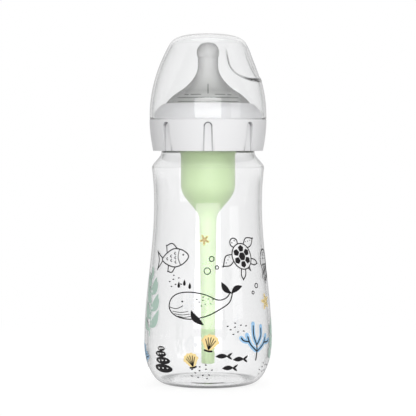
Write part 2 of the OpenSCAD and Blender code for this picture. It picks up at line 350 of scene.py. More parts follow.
class Piece:
    """The one piece of a body: a subclass gives its name, body and slot, and makes its mesh."""

    part: tuple[str, Body, str]

    def mesh(self) -> bpy.types.Mesh:
        """The piece's mesh, in metres and in place."""
        raise NotImplementedError

    def build(self, finish: Finish) -> bpy.types.Object:
        """Makes the piece, which stands for the node that has its body's name."""
        name, body, slot = self.part
        return placed(name, self.mesh(), Place(body, slot, body.value), finish.material())


# ------------------------------------------------------------------ shaders


class Wire:
    """A value on its way through a shader, with arithmetic that adds Math nodes."""

    def __init__(self, shader: Shader, socket: bpy.types.NodeSocket | None) -> None:
        """Keeps the shader and the socket that the value leaves by."""
        self.shader = shader
        self.socket = socket

    def _math(self, operation: str, first: Wire | float, second: Wire | float) -> Wire:
        """One Math node with two inputs."""
        return self.shader.node("ShaderNodeMath", {"operation": operation}, {0: first, 1: second})

    def __add__(self, other: Wire | float) -> Wire:
        """Sum."""
        return self._math("ADD", self, other)

    __radd__ = __add__

    def __mul__(self, other: Wire | float) -> Wire:
        """Product."""
        return self._math("MULTIPLY", self, other)

    __rmul__ = __mul__

    def larger(self, other: Wire | float) -> Wire:
        """The larger of the two."""
        return self._math("MAXIMUM", self, other)

    def smaller(self, other: Wire | float) -> Wire:
        """The smaller of the two."""
        return self._math("MINIMUM", self, other)

    def __pow__(self, other: float) -> Wire:
        """Power."""
        return self._math("POWER", self, other)


class Shader:
    """The node tree of a material or world, and the one method that makes its nodes."""

    def __init__(self, name: str, owners: str = "materials") -> None:
        """Makes an empty material of that name, or one of another kind of owner, such as "worlds".

        Args:
            name: Name of the material or world.
            owners: The list in the file that it is made in.
        """
        self.owner = getattr(bpy.data, owners).new(name)
        self.owner.use_nodes = True
        self.tree = self.owner.node_tree
        self.tree.nodes.clear()

    def node(
        self, kind: str, settings: dict | None = None, inputs: dict | None = None, output: int | str | None = 0
    ) -> Wire:
        """Makes one node.

        Args:
            kind: The node's type.
            settings: Its properties, set first.
            inputs: A number, colour, vector or Wire for each socket, by its name or place.
            output: The socket that the returned value leaves by, or None for a node that has none.

        Returns:
            The value at that output.
        """
        made = self.tree.nodes.new(kind)
        for name, value in (settings or {}).items():
            setattr(made, name, value)
        for name, value in (inputs or {}).items():
            if isinstance(value, Wire):
                self.tree.links.new(value.socket, made.inputs[name])
            else:
                made.inputs[name].default_value = value
        return Wire(self, None if output is None else made.outputs[output])

    def place(self) -> Wire:
        """The point on the object, in metres."""
        return self.node("ShaderNodeTexCoord", output="Object")

    def noise(self, scale: float, detail: float = 3.0, stretch: Sequence[float] = (1, 1, 1)) -> Wire:
        """Soft noise from 0 to 1 with features of about 1 / scale metres, stretched along the axes."""
        spot = self.node("ShaderNodeMapping", {}, {"Vector": self.place(), "Scale": tuple(stretch)})
        return self.node("ShaderNodeTexNoise", {}, {"Vector": spot, "Scale": scale, "Detail": detail})

    def facing(self) -> Wire:
        """How far the surface turns away from the eye: 0 face on and 1 edge on."""
        return self.node("ShaderNodeLayerWeight", {}, {"Blend": 0.5}, output="Facing")

    def shade(self) -> Wire:
        """The mesh's own "shade" attribute."""
        return self.node("ShaderNodeAttribute", {"attribute_name": "shade"}, output="Fac")

    def blend(self, amount: Wire, low: Wire | Sequence[float], high: Sequence[float]) -> Wire:
        """Colour between low and high by an amount from 0 to 1.

        Args:
            amount: Share of the colour high.
            low: Colour at 0.
            high: Colour at 1.

        Returns:
            The mixed colour.
        """
        start = low if isinstance(low, Wire) else (*low, 1)
        colours = {0: amount, 6: start, 7: (*high, 1)}
        return self.node("ShaderNodeMix", {"data_type": "RGBA"}, colours, output=2)

    def bump(self, height: Wire, depth: float) -> Wire:
        """Normal from a height of 0 to 1 that stands for depth in metres."""
        return self.node("ShaderNodeBump", {}, {"Height": height, "Distance": depth, "Strength": 1.0})

    def seen(self) -> Wire:
        """1 for a ray that shows a surface, straight, in a mirror or through plastic, and 0 for other rays.

        Returns:
            The number for each ray.
        """
        kinds = ("Camera", "Glossy", "Transmission")
        rays = [self.node("ShaderNodeLightPath", output=f"Is {kind} Ray") for kind in kinds]
        return rays[0].larger(rays[1]).larger(rays[2])

    def plastic(self, inputs: dict) -> Wire:
        """One Principled shader."""
        return self.node("ShaderNodeBsdfPrincipled", {}, inputs)

    def absorbing(self, colour: Sequence[float], density: float) -> Wire:
        """Volume that lets the colour through; the rest fades with the depth times the density."""
        return self.node("ShaderNodeVolumeAbsorption", {}, {"Color": (*colour, 1), "Density": density})

    def finish(
        self, surface: Wire, volume: Wire | None = None, output: str = "ShaderNodeOutputMaterial"
    ) -> bpy.types.Material | bpy.types.World:
        """Joins surface and volume to the output and returns the tree's owner.

        Args:
            surface: Shader of the surface.
            volume: Shader of the inside, if there is one.
            output: Kind of the output node.

        Returns:
            The material or world.
        """
        ends = {"Surface": surface} | ({"Volume": volume} if volume else {})
        self.node(output, {}, ends, output=None)
        return self.owner


@dataclass(frozen=True)
class Finish:
    """The name and the material of a piece's surface."""

    name: str

    def material(self) -> bpy.types.Material:
        """Makes the material."""
        raise NotImplementedError


@dataclass(frozen=True)
class ClearPlastic(Finish):
    """Glass-clear moulded plastic whose volume greys with the length of wall looked through, and whose colour is
    darkened edge on and along painted lines: painted shade for the dark edges that refraction shows.
    """

    clear: tuple[float, float, float] = (0.985, 0.986, 0.988)
    # painted shade: the colour that the clear wall darkens to edge on and along painted lines
    edge: tuple[float, float, float] = (0.04, 0.042, 0.045)
    painted_edge_shade_slope: float = 0.25
    painted_edge_shade_rise: float = 2.6
    painted_edge_shade_power: float = 7.0
    # how dark a painted line of shade is where the shade attribute is 1
    line: float = 0.95
    refraction: float = 1.49
    mirror: float = 0.2
    roughness: float = 0.02
    grey: tuple[float, float, float] = (0.5, 0.51, 0.52)
    density: float = 36.0
    ripple: float = 0.00003

    def material(self) -> bpy.types.Material:
        """Clear shader with faint flow marks, and painted edge shade: its colour greys edge on.

        A "shade" above 0 adds a painted dark line, painted shade for the refraction at a step or outline, and
        one of -1 takes the painted edge shade away.

        Returns:
            The material.
        """
        s = Shader(self.name)
        flow = s.noise(38, 2, (1, 1, 0.35))
        away, shade = s.facing(), s.shade()
        # painted shade: darker edge on, plus painted dark lines where the shade is above 0, less where it is
        # below 0
        edge = self.painted_edge_shade_slope * away + self.painted_edge_shade_rise * away**self.painted_edge_shade_power
        grey = (edge * (1 + shade.smaller(0.0)) + self.line * shade.larger(0.0)).smaller(1.0)
        surface = s.plastic(
            {
                "Base Color": s.blend(grey, self.clear, self.edge),
                "Roughness": self.roughness + 0.02 * flow,
                "IOR": self.refraction,
                "Specular IOR Level": self.mirror,
                "Transmission Weight": 1.0,
                "Normal": s.bump(flow, self.ripple),
            },
        )
        return s.finish(surface, s.absorbing(self.grey, self.density))


@dataclass(frozen=True)
class Silicone(Finish):
    """Milky translucent silicone with a satin skin."""

    tone: tuple[float, float, float] = (0.99, 0.99, 0.985)
    deep: tuple[float, float, float] = (0.97, 0.97, 0.965)
    transmission: float = 0.85
    roughness: float = 0.3
    grey: tuple[float, float, float] = (0.5, 0.5, 0.5)
    density: float = 10.0
    mirror: float = 0.15
    # painted shade: the colour the silicone darkens to edge on and on the raised marks
    edge: tuple[float, float, float] = (0.12, 0.12, 0.12)
    painted_edge_shade_rise: float = 1.5
    painted_edge_shade_power: float = 2.5
    line: float = 0.8

    def material(self) -> bpy.types.Material:
        """Milky shader with painted shade: darker edge on and where the shade is 1, on the raised marks, with
        absorption in the wall.

        Returns:
            The material.
        """
        s = Shader(self.name)
        cloud = s.noise(60, 3)
        grain = s.noise(2200, 2)
        tone = s.blend(cloud, self.deep, self.tone)
        # painted shade: darker edge on and on the raised marks
        rim = (self.painted_edge_shade_rise * s.facing() ** self.painted_edge_shade_power + self.line * s.shade()).smaller(1.0)
        surface = s.plastic(
            {
                "Base Color": s.blend(rim, tone, self.edge),
                "Roughness": self.roughness + 0.08 * grain,
                "IOR": 1.41,
                "Specular IOR Level": self.mirror,
                "Transmission Weight": self.transmission,
                "Normal": s.bump(grain, 0.00001),
            },
        )
        return s.finish(surface, s.absorbing(self.grey, self.density))


@dataclass(frozen=True)
class TintedPlastic(Finish):
    """Translucent coloured plastic, cloudy enough to show its own shape."""

    light: tuple[float, float, float] = (0.80, 1.0, 0.60)
    deep: tuple[float, float, float] = (0.77, 1.0, 0.56)
    # painted highlight: the colour where the shade is 1
    painted_highlight: tuple[float, float, float] = (0.93, 1.0, 0.85)
    transmission: float = 0.08
    roughness: float = 0.32

    def material(self) -> bpy.types.Material:
        """Coloured shader with slow changes of tone and a fine satin grain, and a painted highlight, paler where
        the shade is 1.

        Returns:
            The material.
        """
        s = Shader(self.name)
        cloud = s.noise(45, 3, (1, 1, 0.3))
        grain = s.noise(2500, 2)
        tone = s.blend(cloud, self.deep, self.light)
        surface = s.plastic(
            {
                "Base Color": s.blend(s.shade(), tone, self.painted_highlight),
                "Roughness": self.roughness + 0.08 * grain,
                "IOR": 1.49,
                "Transmission Weight": self.transmission,
                "Normal": s.bump(grain, 0.000008),
            },
        )
        return s.finish(surface)


@dataclass(frozen=True)
class SolidPlastic(Finish):
    """Opaque moulded plastic between satin and gloss."""

    light: tuple[float, float, float] = (0.85, 0.85, 0.858)
    deep: tuple[float, float, float] = (0.825, 0.825, 0.835)
    painted_groove_shade: tuple[float, float, float] = (0.25, 0.25, 0.26)
    mirror: float = 0.3
    roughness: float = 0.45

    def material(self) -> bpy.types.Material:
        """White shader with slow changes of tone and a fine moulded grain, and painted shade, darker where the
        shade is 1.

        Returns:
            The material.
        """
        s = Shader(self.name)
        cloud = s.noise(35, 3)
        grain = s.noise(3000, 3)
        tone = s.blend(cloud, self.deep, self.light)
        surface = s.plastic(
            {
                "Base Color": s.blend(s.shade(), tone, self.painted_groove_shade),
                "Roughness": self.roughness + 0.1 * grain,
                "IOR": 1.5,
                "Specular IOR Level": self.mirror,
                "Normal": s.bump(grain, 0.00001),
            },
        )
        return s.finish(surface)


@dataclass(frozen=True)
class PrintInk(Finish):
    """Screen-printed ink with a slightly uneven cover."""

    colour: tuple[float, float, float]
    spread: float = 0.06

    def material(self) -> bpy.types.Material:
        """Ink shader whose tone varies by a few hundredths.

        Returns:
            The material.
        """
        s = Shader(self.name)
        cover = s.noise(900, 4)
        low = tuple(c * (1 - self.spread) for c in self.colour)
        high = tuple(min(1.0, c * (1 + self.spread)) for c in self.colour)
        surface = s.plastic(
            {
                "Base Color": s.blend(cover, low, high),
                "Roughness": 0.5 + 0.15 * cover,
                "IOR": 1.4,
                "Specular IOR Level": 0.3,
            },
        )
        return s.finish(surface)


# ------------------------------------------------------------------ sizes that pieces share


@dataclass(frozen=True)
class Stack:
    """Heights and radii at which the pieces meet, as in the frame."""

    belly_z: float = 24.5
    waist_z: float = 98.0
    shoulder_z: float = 118.0
    neck_z: float = 126.3
    rim_z: float = 147.1
    flange_z: float = 148.5
    lip_z: float = 150.3
    lip_top_z: float = 152.6
    ledge_z: float = 144.0
    collar_z: float = 127.0
    mouth_z: float = 138.7
    tip_z: float = 186.1
    cap_top_z: float = 190.65
    neck_r: float = 25.4
    seat_r: float = 25.0
    seat_bore_r: float = 25.35
    lip_r: float = 23.7
    nipple_foot_r: float = 23.3
    bore_r: float = 27.2
    collar_r: float = 31.8
    crown_r: float = 29.9
    pitch: float = 4.5
    ridge_reach: float = 1.15
    ridge_flank: float = 0.7
    ridge_ends: float = 12.0

    def ridge(self, azimuth: np.ndarray, height: np.ndarray, start_z: float, turns: float) -> np.ndarray:
        """Height of a right-hand thread ridge over a wall, from 0 to 1.

        The ridge's middle rises by the pitch in each turn of rising azimuth. Its section eases up from nothing
        at its reach beside the middle, over the flank, and both ends ease out over a twelfth of a turn.

        Args:
            azimuth: Azimuths in radians, by column.
            height: Heights, by row.
            start_z: Height of the ridge's middle at azimuth 0, where it starts.
            turns: Its length in turns.

        Returns:
            Ridge height by row and column.
        """
        share = (azimuth / (2 * math.pi))[None, :]
        total = np.zeros((len(height), len(azimuth)))
        for lap in range(math.ceil(turns) + 1):
            along = share + lap
            away = np.abs(height[:, None] - start_z - self.pitch * along)
            ends = ease(along * self.ridge_ends) * ease((turns - along) * self.ridge_ends)
            total = np.maximum(total, ease((self.ridge_reach - away) / self.ridge_flank) * ends)
        return total


@dataclass
class BottleShell(Piece):
    """The clear container: heel, belly, waist, shoulder, neck with its thread, and raised base."""

    part = ("bottle_shell", Body.BOTTLE, "clear_bottle")
    stack: Stack
    belly_r: float = 34.8
    waist_r: float = 29.4
    shoulder_r: float = 30.6
    shoulder_break: float = 0.16
    foot_r: float = 21.9
    foot_w: float = 1.8
    heel_run: float = 8.0
    heel_rise: float = 14.5
    base_rise: float = 1.2
    floor_z: float = 2.7
    floor_step: float = 1.4
    wall: float = 1.25
    neck_wall: float = 1.6
    rim_round: float = 0.5
    thread_h: float = 1.2
    thread_z: float = 138.3
    thread_turns: float = 1.25
    thread_row: float = 0.3
    base_round: float = 0.5
    inside_round: float = 0.8
    # where the painted edge shade is taken away, the painted highlight at the shoulder, and the painted dark
    # outline at the heel
    plain_z: float = 14.0
    shoulder_painted_highlight: tuple[float, float] = (119.0, 10.0)
    heel_painted_shade_z: float = 2.0
    heel_painted_shade: float = 0.9
    columns: int = 192

    def side(self) -> np.ndarray:
        """Outer line from the standing ring up to the neck.

        Returns:
            Points as radius and height.
        """
        st = self.stack
        flare = 2 * (self.shoulder_r - self.waist_r) / (st.shoulder_z - st.waist_z)
        heel = [(self.foot_r, 0), (self.foot_r + self.heel_run, 0)]
        heel += [(self.belly_r, st.belly_z - self.heel_rise), (self.belly_r, st.belly_z)]
        return chain(
            bezier(heel, 36),
            swept((self.belly_r, st.belly_z), (self.waist_r, st.waist_z), 0, 0, 36),
            swept((self.waist_r, st.waist_z), (self.shoulder_r, st.shoulder_z), 0, flare, 14),
            swept((self.shoulder_r, st.shoulder_z), (st.neck_r, st.neck_z), -self.shoulder_break, 0, 20),
        )

    def mesh(self) -> bpy.types.Mesh:
        """The whole wall as one closed grid: up the outside, over the rim and down the inside to the floor.

        A row is a point of the outline and a column an azimuth. On the neck the radius grows by the thread's
        ridge. The shade falls to -1 under the base and on the inside low down, which takes the painted edge
        shade away, and on the inside at the shoulder, a lighter wall that is a painted highlight. It rises on
        the outside of the standing ring, a painted dark outline along the base.

        Returns:
            The mesh.
        """
        st, side = self.stack, self.side()
        foot_in = self.foot_r - self.foot_w
        neck_in = st.neck_r - self.neck_wall
        base = np.array([(0, self.base_rise), (foot_in - self.base_rise, self.base_rise), (foot_in, 0)])
        neck = np.array([(st.neck_r, st.neck_z), (st.neck_r, st.rim_z - self.rim_round)])
        outer = chain(
            softened(chain(base, side), self.base_round),
            resampled(neck, self.thread_row),
            arc((st.neck_r - self.rim_round, st.rim_z - self.rim_round), self.rim_round, 0, 90, 4),
        )
        inner = chain(
            arc((neck_in + self.rim_round, st.rim_z - self.rim_round), self.rim_round, 90, 180, 4),
            (neck_in, st.neck_z + self.neck_wall),
            inset(side, self.wall)[::-1],
            (self.foot_r - self.floor_step, self.floor_z),
            (0, self.floor_z),
        )
        line = chain(outer, softened(inner, self.inside_round))
        azimuth = whole_turn(self.columns)
        outside = np.arange(len(line)) < len(outer)
        lift = self.thread_h * st.ridge(azimuth, line[:, 1], self.thread_z, self.thread_turns)
        lift *= (outside & (line[:, 1] > st.neck_z + 1))[:, None]
        grid = turned(line[:, :1] + lift, line[:, 1], azimuth)
        under = ~outside | (line[:, 0] < self.foot_r)
        # shade below 0 takes the painted edge shade away under the base and inside low down
        shade = np.where(under, -ease(2 - 2 * line[:, 1] / self.plain_z), 0)
        middle, reach = self.shoulder_painted_highlight
        # painted highlight: the inside of the shoulder kept lighter
        shade -= ease(1.5 * (1 - np.abs(line[:, 1] - middle) / reach)) * ~outside
        # painted shade: a dark outline on the outside of the standing ring
        shade += self.heel_painted_shade * ease(2 - 2 * line[:, 1] / self.heel_painted_shade_z) * ~under
        return Shell().add(grid, shade=np.repeat(shade, self.columns)).mesh("bottle_shell")


@dataclass
class Reservoir(Piece):
    """The green bulb with its funnel and the long tube."""

    part = ("reservoir_shell", Body.RESERVOIR, "vent_plastic")
    stack: Stack
    bulb_r: float = 14.8
    mouth_flare: float = 0.7
    mouth_h: float = 11.5
    mouth_blend: float = 4.0
    funnel_z: float = 108.7
    funnel_top: float = 9.0
    funnel_foot: float = 7.0
    tube_z: float = 89.2
    tube_r: float = 4.7
    tube_end_z: float = 10.9
    tube_end_r: float = 3.6
    wall: float = 1.1
    edge: float = 0.5
    # painted highlight: height and width of a light ring line about the bulb
    highlight_ring_z: float = 117.6
    highlight_ring_w: float = 0.7
    columns: int = 128

    def mesh(self) -> bpy.types.Mesh:
        """One closed grid: up the outside from the tube's end, over the mouth's edge and down the inside.

        The shade is 1 on a narrow ring about the bulb, where a painted highlight line is.

        Returns:
            The mesh.
        """
        top, mouth_r = self.stack.mouth_z, self.bulb_r + self.mouth_flare
        funnel = [(self.tube_r, self.tube_z), (self.tube_r, self.tube_z + self.funnel_foot)]
        funnel += [(self.bulb_r, self.funnel_z - self.funnel_top), (self.bulb_r, self.funnel_z)]
        flare_z = top - self.mouth_h - self.mouth_blend
        straight = np.array([(self.bulb_r, self.funnel_z), (self.bulb_r, flare_z)])
        side = chain(
            np.linspace((self.tube_end_r, self.tube_end_z + self.edge), (self.tube_r, self.tube_z), 24),
            bezier(funnel, 32),
            resampled(straight, self.highlight_ring_w / 2),
            swept((self.bulb_r, flare_z), (mouth_r, top - self.mouth_h), 0, 0, 10),
            (mouth_r, top - self.edge),
        )
        line = chain(
            (self.tube_end_r - self.wall, self.tube_end_z),
            arc((self.tube_end_r - self.edge, self.tube_end_z + self.edge), self.edge, -90, -10, 3),
            side,
            arc((mouth_r - self.edge, top - self.edge), self.edge, 0, 90, 4),
            (mouth_r - self.wall, top),
            inset(side, self.wall)[::-1],
        )
        grid = turned(line[:, 0], line[:, 1], whole_turn(self.columns))
        # painted highlight: a light ring line about the bulb
        ring = ease(1 - np.abs(line[:, 1] - self.highlight_ring_z) / self.highlight_ring_w)
        return Shell().add(grid, round_rows=True, shade=np.repeat(ring, self.columns)).mesh("reservoir_shell")


@dataclass
class Insert(Piece):
    """The green disc on the rim, as a merged and smoothed copy of its node."""

    part = ("insert_body", Body.INSERT, "vent_plastic")
    merge: float = 0.000004
    crease: float = 30.0

    def mesh(self) -> bpy.types.Mesh:
        """The node's own mesh with its loose triangles joined and its round faces smooth.

        Returns:
            The mesh.
        """
        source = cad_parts[Body.INSERT.value].data
        made = source.copy()
        made.name = "insert_body"
        work = bmesh.new()
        work.from_mesh(made)
        bmesh.ops.remove_doubles(work, verts=work.verts, dist=self.merge)
        work.to_mesh(made)
        work.free()
        made.shade_smooth()
        made.set_sharp_from_angle(angle=math.radians(self.crease))
        return made


@dataclass
class Nipple(Piece):
    """The silicone teat with its clamped flange, flared skirt, stem and round tip."""

    part = ("nipple_shell", Body.NIPPLE, "silicone")
    stack: Stack
    wall: float = 1.6
    turn_r: float = 15.0
    turn_h: float = 9.3
    turn_slope: float = -1.7
    foot_slope: float = -0.75
    stem_r: float = 5.5
    turn_run: float = 2.0
    stem_foot_h: float = 22.7
    stem_run: float = 6.0
    tip_r: float = 6.1
    feed_r: float = 0.3
    lip_gap: float = 0.4
    bar_z: tuple[float, float] = (157.7, 162.8)
    dash_z: float = 157.1
    dashes: tuple[tuple[float, float], ...] = ((-12.3, -10.3), (-9.0, -3.8), (3.8, 9.0), (10.3, 12.3))
    rings: tuple[float, ...] = (153.3, 155.5)
    ring_reach: float = 15.0
    ring_fade: float = 2.0
    mark_w: float = 0.5
    mark_h: float = 0.2
    edge_round: float = 0.35
    near_turn: float = 66.0
    near_step: float = 0.75
    far_columns: int = 78

    def side(self) -> np.ndarray:
        """Outer line of the skirt and the flare, from the collar's lip up to the stem.

        Returns:
            Points as radius and height.
        """
        st = self.stack
        turn = np.array([self.turn_r, st.lip_z + self.turn_h])
        stem = np.array([self.stem_r, st.lip_z + self.stem_foot_h])
        foot = (st.nipple_foot_r, st.lip_top_z - self.lip_gap)
        leaving = turn + self.turn_run * np.array([self.turn_slope, 1])
        handles = [turn, leaving, stem - (0, self.stem_run), stem]
        return chain(swept(foot, turn, self.foot_slope, self.turn_slope, 44), bezier(handles, 60))

    def marks(self, radius: np.ndarray, height: np.ndarray, azimuth: np.ndarray) -> np.ndarray:
        """Height of the raised marks on the skirt's front: an upright bar, a row of dashes and two ribs.

        Each mark is the product of one band across and one band in height, and a band eases to 0 over its edge.

        Args:
            radius: Radius by row.
            height: Height by row.
            azimuth: Azimuths in radians, by column.

        Returns:
            Height by row and column, from 0 to 1.
        """
        x = radius[:, None] * np.sin(azimuth)[None, :]
        z = np.repeat(height[:, None], len(azimuth), 1)

        def band(value: np.ndarray, low: float, high: float, edge: float = self.mark_w / 2) -> np.ndarray:
            """1 between low and high, easing to 0 over the edge outside them."""
            return ease(1 - np.maximum(low - value, value - high) / edge)

        def rib(middle: float) -> np.ndarray:
            """Band about a height."""
            return band(z, middle - self.mark_w / 4, middle + self.mark_w / 4)

        total = band(x, -self.mark_w / 4, self.mark_w / 4) * band(z, *self.bar_z)
        for low, high in self.dashes:
            total = np.maximum(total, band(x, low, high) * rib(self.dash_z))
        for middle in self.rings:
            total = np.maximum(total, band(x, -self.ring_reach, self.ring_reach, self.ring_fade) * rib(middle))
        return total * (np.cos(azimuth) > 0)

    def mesh(self) -> bpy.types.Mesh:
        """One closed grid: over the flange, up the outside, through the feed hole and down the inside.

        Columns stand close together across the front, where the marks raise the radius. The shade is the
        marks' height, and paints shade on them.

        Returns:
            The mesh.
        """
        st, side, ball_z = self.stack, self.side(), self.stack.tip_z - self.tip_r
        tip_in, stem_in = self.tip_r - self.wall, self.stem_r - self.wall
        foot = -math.degrees(math.acos(self.stem_r / self.tip_r))
        foot_in = -math.degrees(math.acos(stem_in / tip_in))
        hole = math.degrees(math.acos(self.feed_r / self.tip_r))
        hole_in = math.degrees(math.acos(self.feed_r / tip_in))
        line = chain(
            (st.nipple_foot_r - self.wall, st.flange_z),
            (st.seat_r, st.flange_z),
            (st.seat_r, st.lip_z),
            (st.nipple_foot_r, st.lip_z),
            side,
            (self.stem_r, ball_z + self.tip_r * math.sin(math.radians(foot)) - 0.4),
            arc((0, ball_z), self.tip_r, foot, hole, 28),
            arc((0, ball_z), tip_in, hole_in, foot_in, 22),
            inset(side, self.wall)[::-1],
        )
        line = softened(line, self.edge_round)
        azimuth = two_pitches(0.0, self.near_turn, self.near_step, self.far_columns)
        outside = line[:, 0] > np.interp(line[:, 1], side[:, 1], side[:, 0]) - self.wall / 2
        marks = self.marks(line[:, 0], line[:, 1], azimuth) * outside[:, None]
        grid = turned(line[:, :1] + self.mark_h * marks, line[:, 1], azimuth)
        # the marks' height is also the shade: painted shade that darkens the marks
        return Shell().add(grid, round_rows=True, shade=marks).mesh("nipple_shell", 50)


@dataclass
class Collar(Piece):
    """The screw ring: grooved grip, ledge for the cap, rounded crown, lip and threaded bore."""

    part = ("collar_ring", Body.COLLAR, "collar_plastic")
    stack: Stack
    taper: float = 1.75
    foot_curve: float = 0.8
    crown_upright: float = 0.4
    crown_bend: float = 0.55
    crown_dip: float = 0.2
    edge: float = 0.3
    grooves: int = 8
    groove_w: float = 3.6
    groove_spread: float = 0.8
    groove_top_gap: float = 1.9
    groove_wall: float = 0.45
    # painted shade in the grooves: where along the wall it is darkest, how far it reaches, and how dark the
    # floor is
    painted_shade_at: float = 0.2
    painted_shade_reach: float = 1.1
    floor_shade: float = 0.05
    thread_h: float = 1.2
    thread_z: float = 136.05
    thread_turns: float = 1.25
    thread_row: float = 0.35

    def outline(self) -> tuple[np.ndarray, int]:
        """Closed outline from the bore's lower edge round the outside and back, and how many grip points.

        Returns:
            The points, and the number of them that are on the grip.
        """
        st = self.stack
        foot_r = st.collar_r - self.taper
        slope = 2 * self.taper / (st.ledge_z - st.collar_z)
        top_z, foot_z = st.ledge_z - self.groove_top_gap, st.collar_z + self.foot_curve
        grip = swept((foot_r, foot_z), (st.collar_r, st.ledge_z - self.edge), slope, 0, 200)
        heights = np.r_[
            np.linspace(foot_z, top_z - 3.4, 12),
            np.linspace(top_z - 3.2, top_z + 0.5, 26),
            st.ledge_z - 0.9,
            st.ledge_z - self.edge,
        ]
        grip = np.stack([np.interp(heights, grip[:, 1], grip[:, 0]), heights], 1)
        crown_h, crown_w = st.lip_top_z - st.ledge_z, st.crown_r - st.lip_r
        handles = [
            (st.crown_r, st.ledge_z + self.edge),
            (st.crown_r, st.ledge_z + self.crown_upright * crown_h),
            (st.lip_r + self.crown_bend * crown_w, st.lip_top_z - self.crown_dip * crown_h),
            (st.lip_r + self.edge / 2, st.lip_top_z),
        ]
        start = chain(
            (st.bore_r + self.edge, st.collar_z),
            (foot_r - self.edge, st.collar_z),
            (foot_r - 0.15, st.collar_z + 0.25),
            grip,
        )
        step = st.bore_r - st.seat_bore_r
        bore = np.array([(st.bore_r, st.flange_z - self.edge - step), (st.bore_r, st.collar_z + self.edge)])
        end = chain(
            arc((st.collar_r - self.edge, st.ledge_z - self.edge), self.edge, 0, 90, 4),
            arc((st.crown_r + self.edge, st.ledge_z + self.edge), self.edge, -90, -180, 4),
            bezier(handles, 28),
            (st.lip_r, st.lip_top_z - self.edge / 2),
            (st.lip_r, st.lip_z),
            (st.seat_bore_r, st.lip_z),
            (st.seat_bore_r, st.flange_z - self.edge),
            resampled(bore, self.thread_row),
        )
        return chain(start, end), len(start)

    def azimuths(self) -> np.ndarray:
        """Azimuths of the columns: close together across each groove and wider between the grooves.

        Returns:
            Rising azimuths in radians.
        """
        sector = 2 * math.pi / self.grooves
        reach = (self.groove_w / 2 + 0.75) / (self.stack.collar_r - self.taper)
        near = np.linspace(-reach, reach, 38)
        between = np.linspace(reach, sector - reach, 14)[1:-1]
        return (np.r_[near, between][None, :] + sector * np.arange(self.grooves)[:, None]).reshape(-1)

    def mesh(self) -> bpy.types.Mesh:
        """One closed grid, with the grooves and the thread as changes of its radius.

        A groove's outline is two upright sides that spread towards the foot, under a half circle. Inside it
        the radius is the floor's, and it eases back to the grip's over the groove's wall. The shade, painted
        shade, is highest in the corner where floor and wall meet, more so at the arched top.

        Returns:
            The mesh.
        """
        st = self.stack
        line, grip_count = self.outline()
        azimuth = self.azimuths()
        radius = np.repeat(line[:, :1], len(azimuth), 1)
        height = line[:, 1][:, None]
        floor_r = st.collar_r - self.taper - self.edge / 5
        sector = 2 * math.pi / self.grooves
        across = np.abs((azimuth + sector / 2) % sector - sector / 2)[None, :] * floor_r
        half = self.groove_w / 2
        centre_z = st.ledge_z - self.groove_top_gap - half
        share = np.clip((centre_z - height) / (centre_z - st.collar_z), 0, 1)
        beside = across - half - share * self.groove_spread / 2
        over = np.hypot(across, np.maximum(height - centre_z, 0)) - half
        away = np.where(height > centre_z, over, beside)
        inside = 1 - ease(away / self.groove_wall)
        grip = (np.arange(len(line)) < grip_count)[:, None]
        radius = radius - grip * inside * np.maximum(radius - floor_r, 0)
        on_bore = (np.abs(line[:, 0] - st.bore_r) < 1e-6)[:, None] & ~grip
        lift = self.thread_h * st.ridge(azimuth % (2 * math.pi), line[:, 1], self.thread_z, self.thread_turns)
        radius = radius - on_bore * lift
        # painted shade: darker in the grooves' corners, most at their arched tops, and faintly on their floors
        top = ease((height - centre_z) / half + 0.5)
        nearness = ease(self.painted_shade_reach - np.abs(away / self.groove_wall - self.painted_shade_at))
        corner = grip * nearness * (0.6 + 0.4 * top) + self.floor_shade * grip * inside
        shell = Shell().add(turned(radius, line[:, 1], azimuth), round_rows=True, shade=corner)
        return shell.mesh("collar_ring", 30)


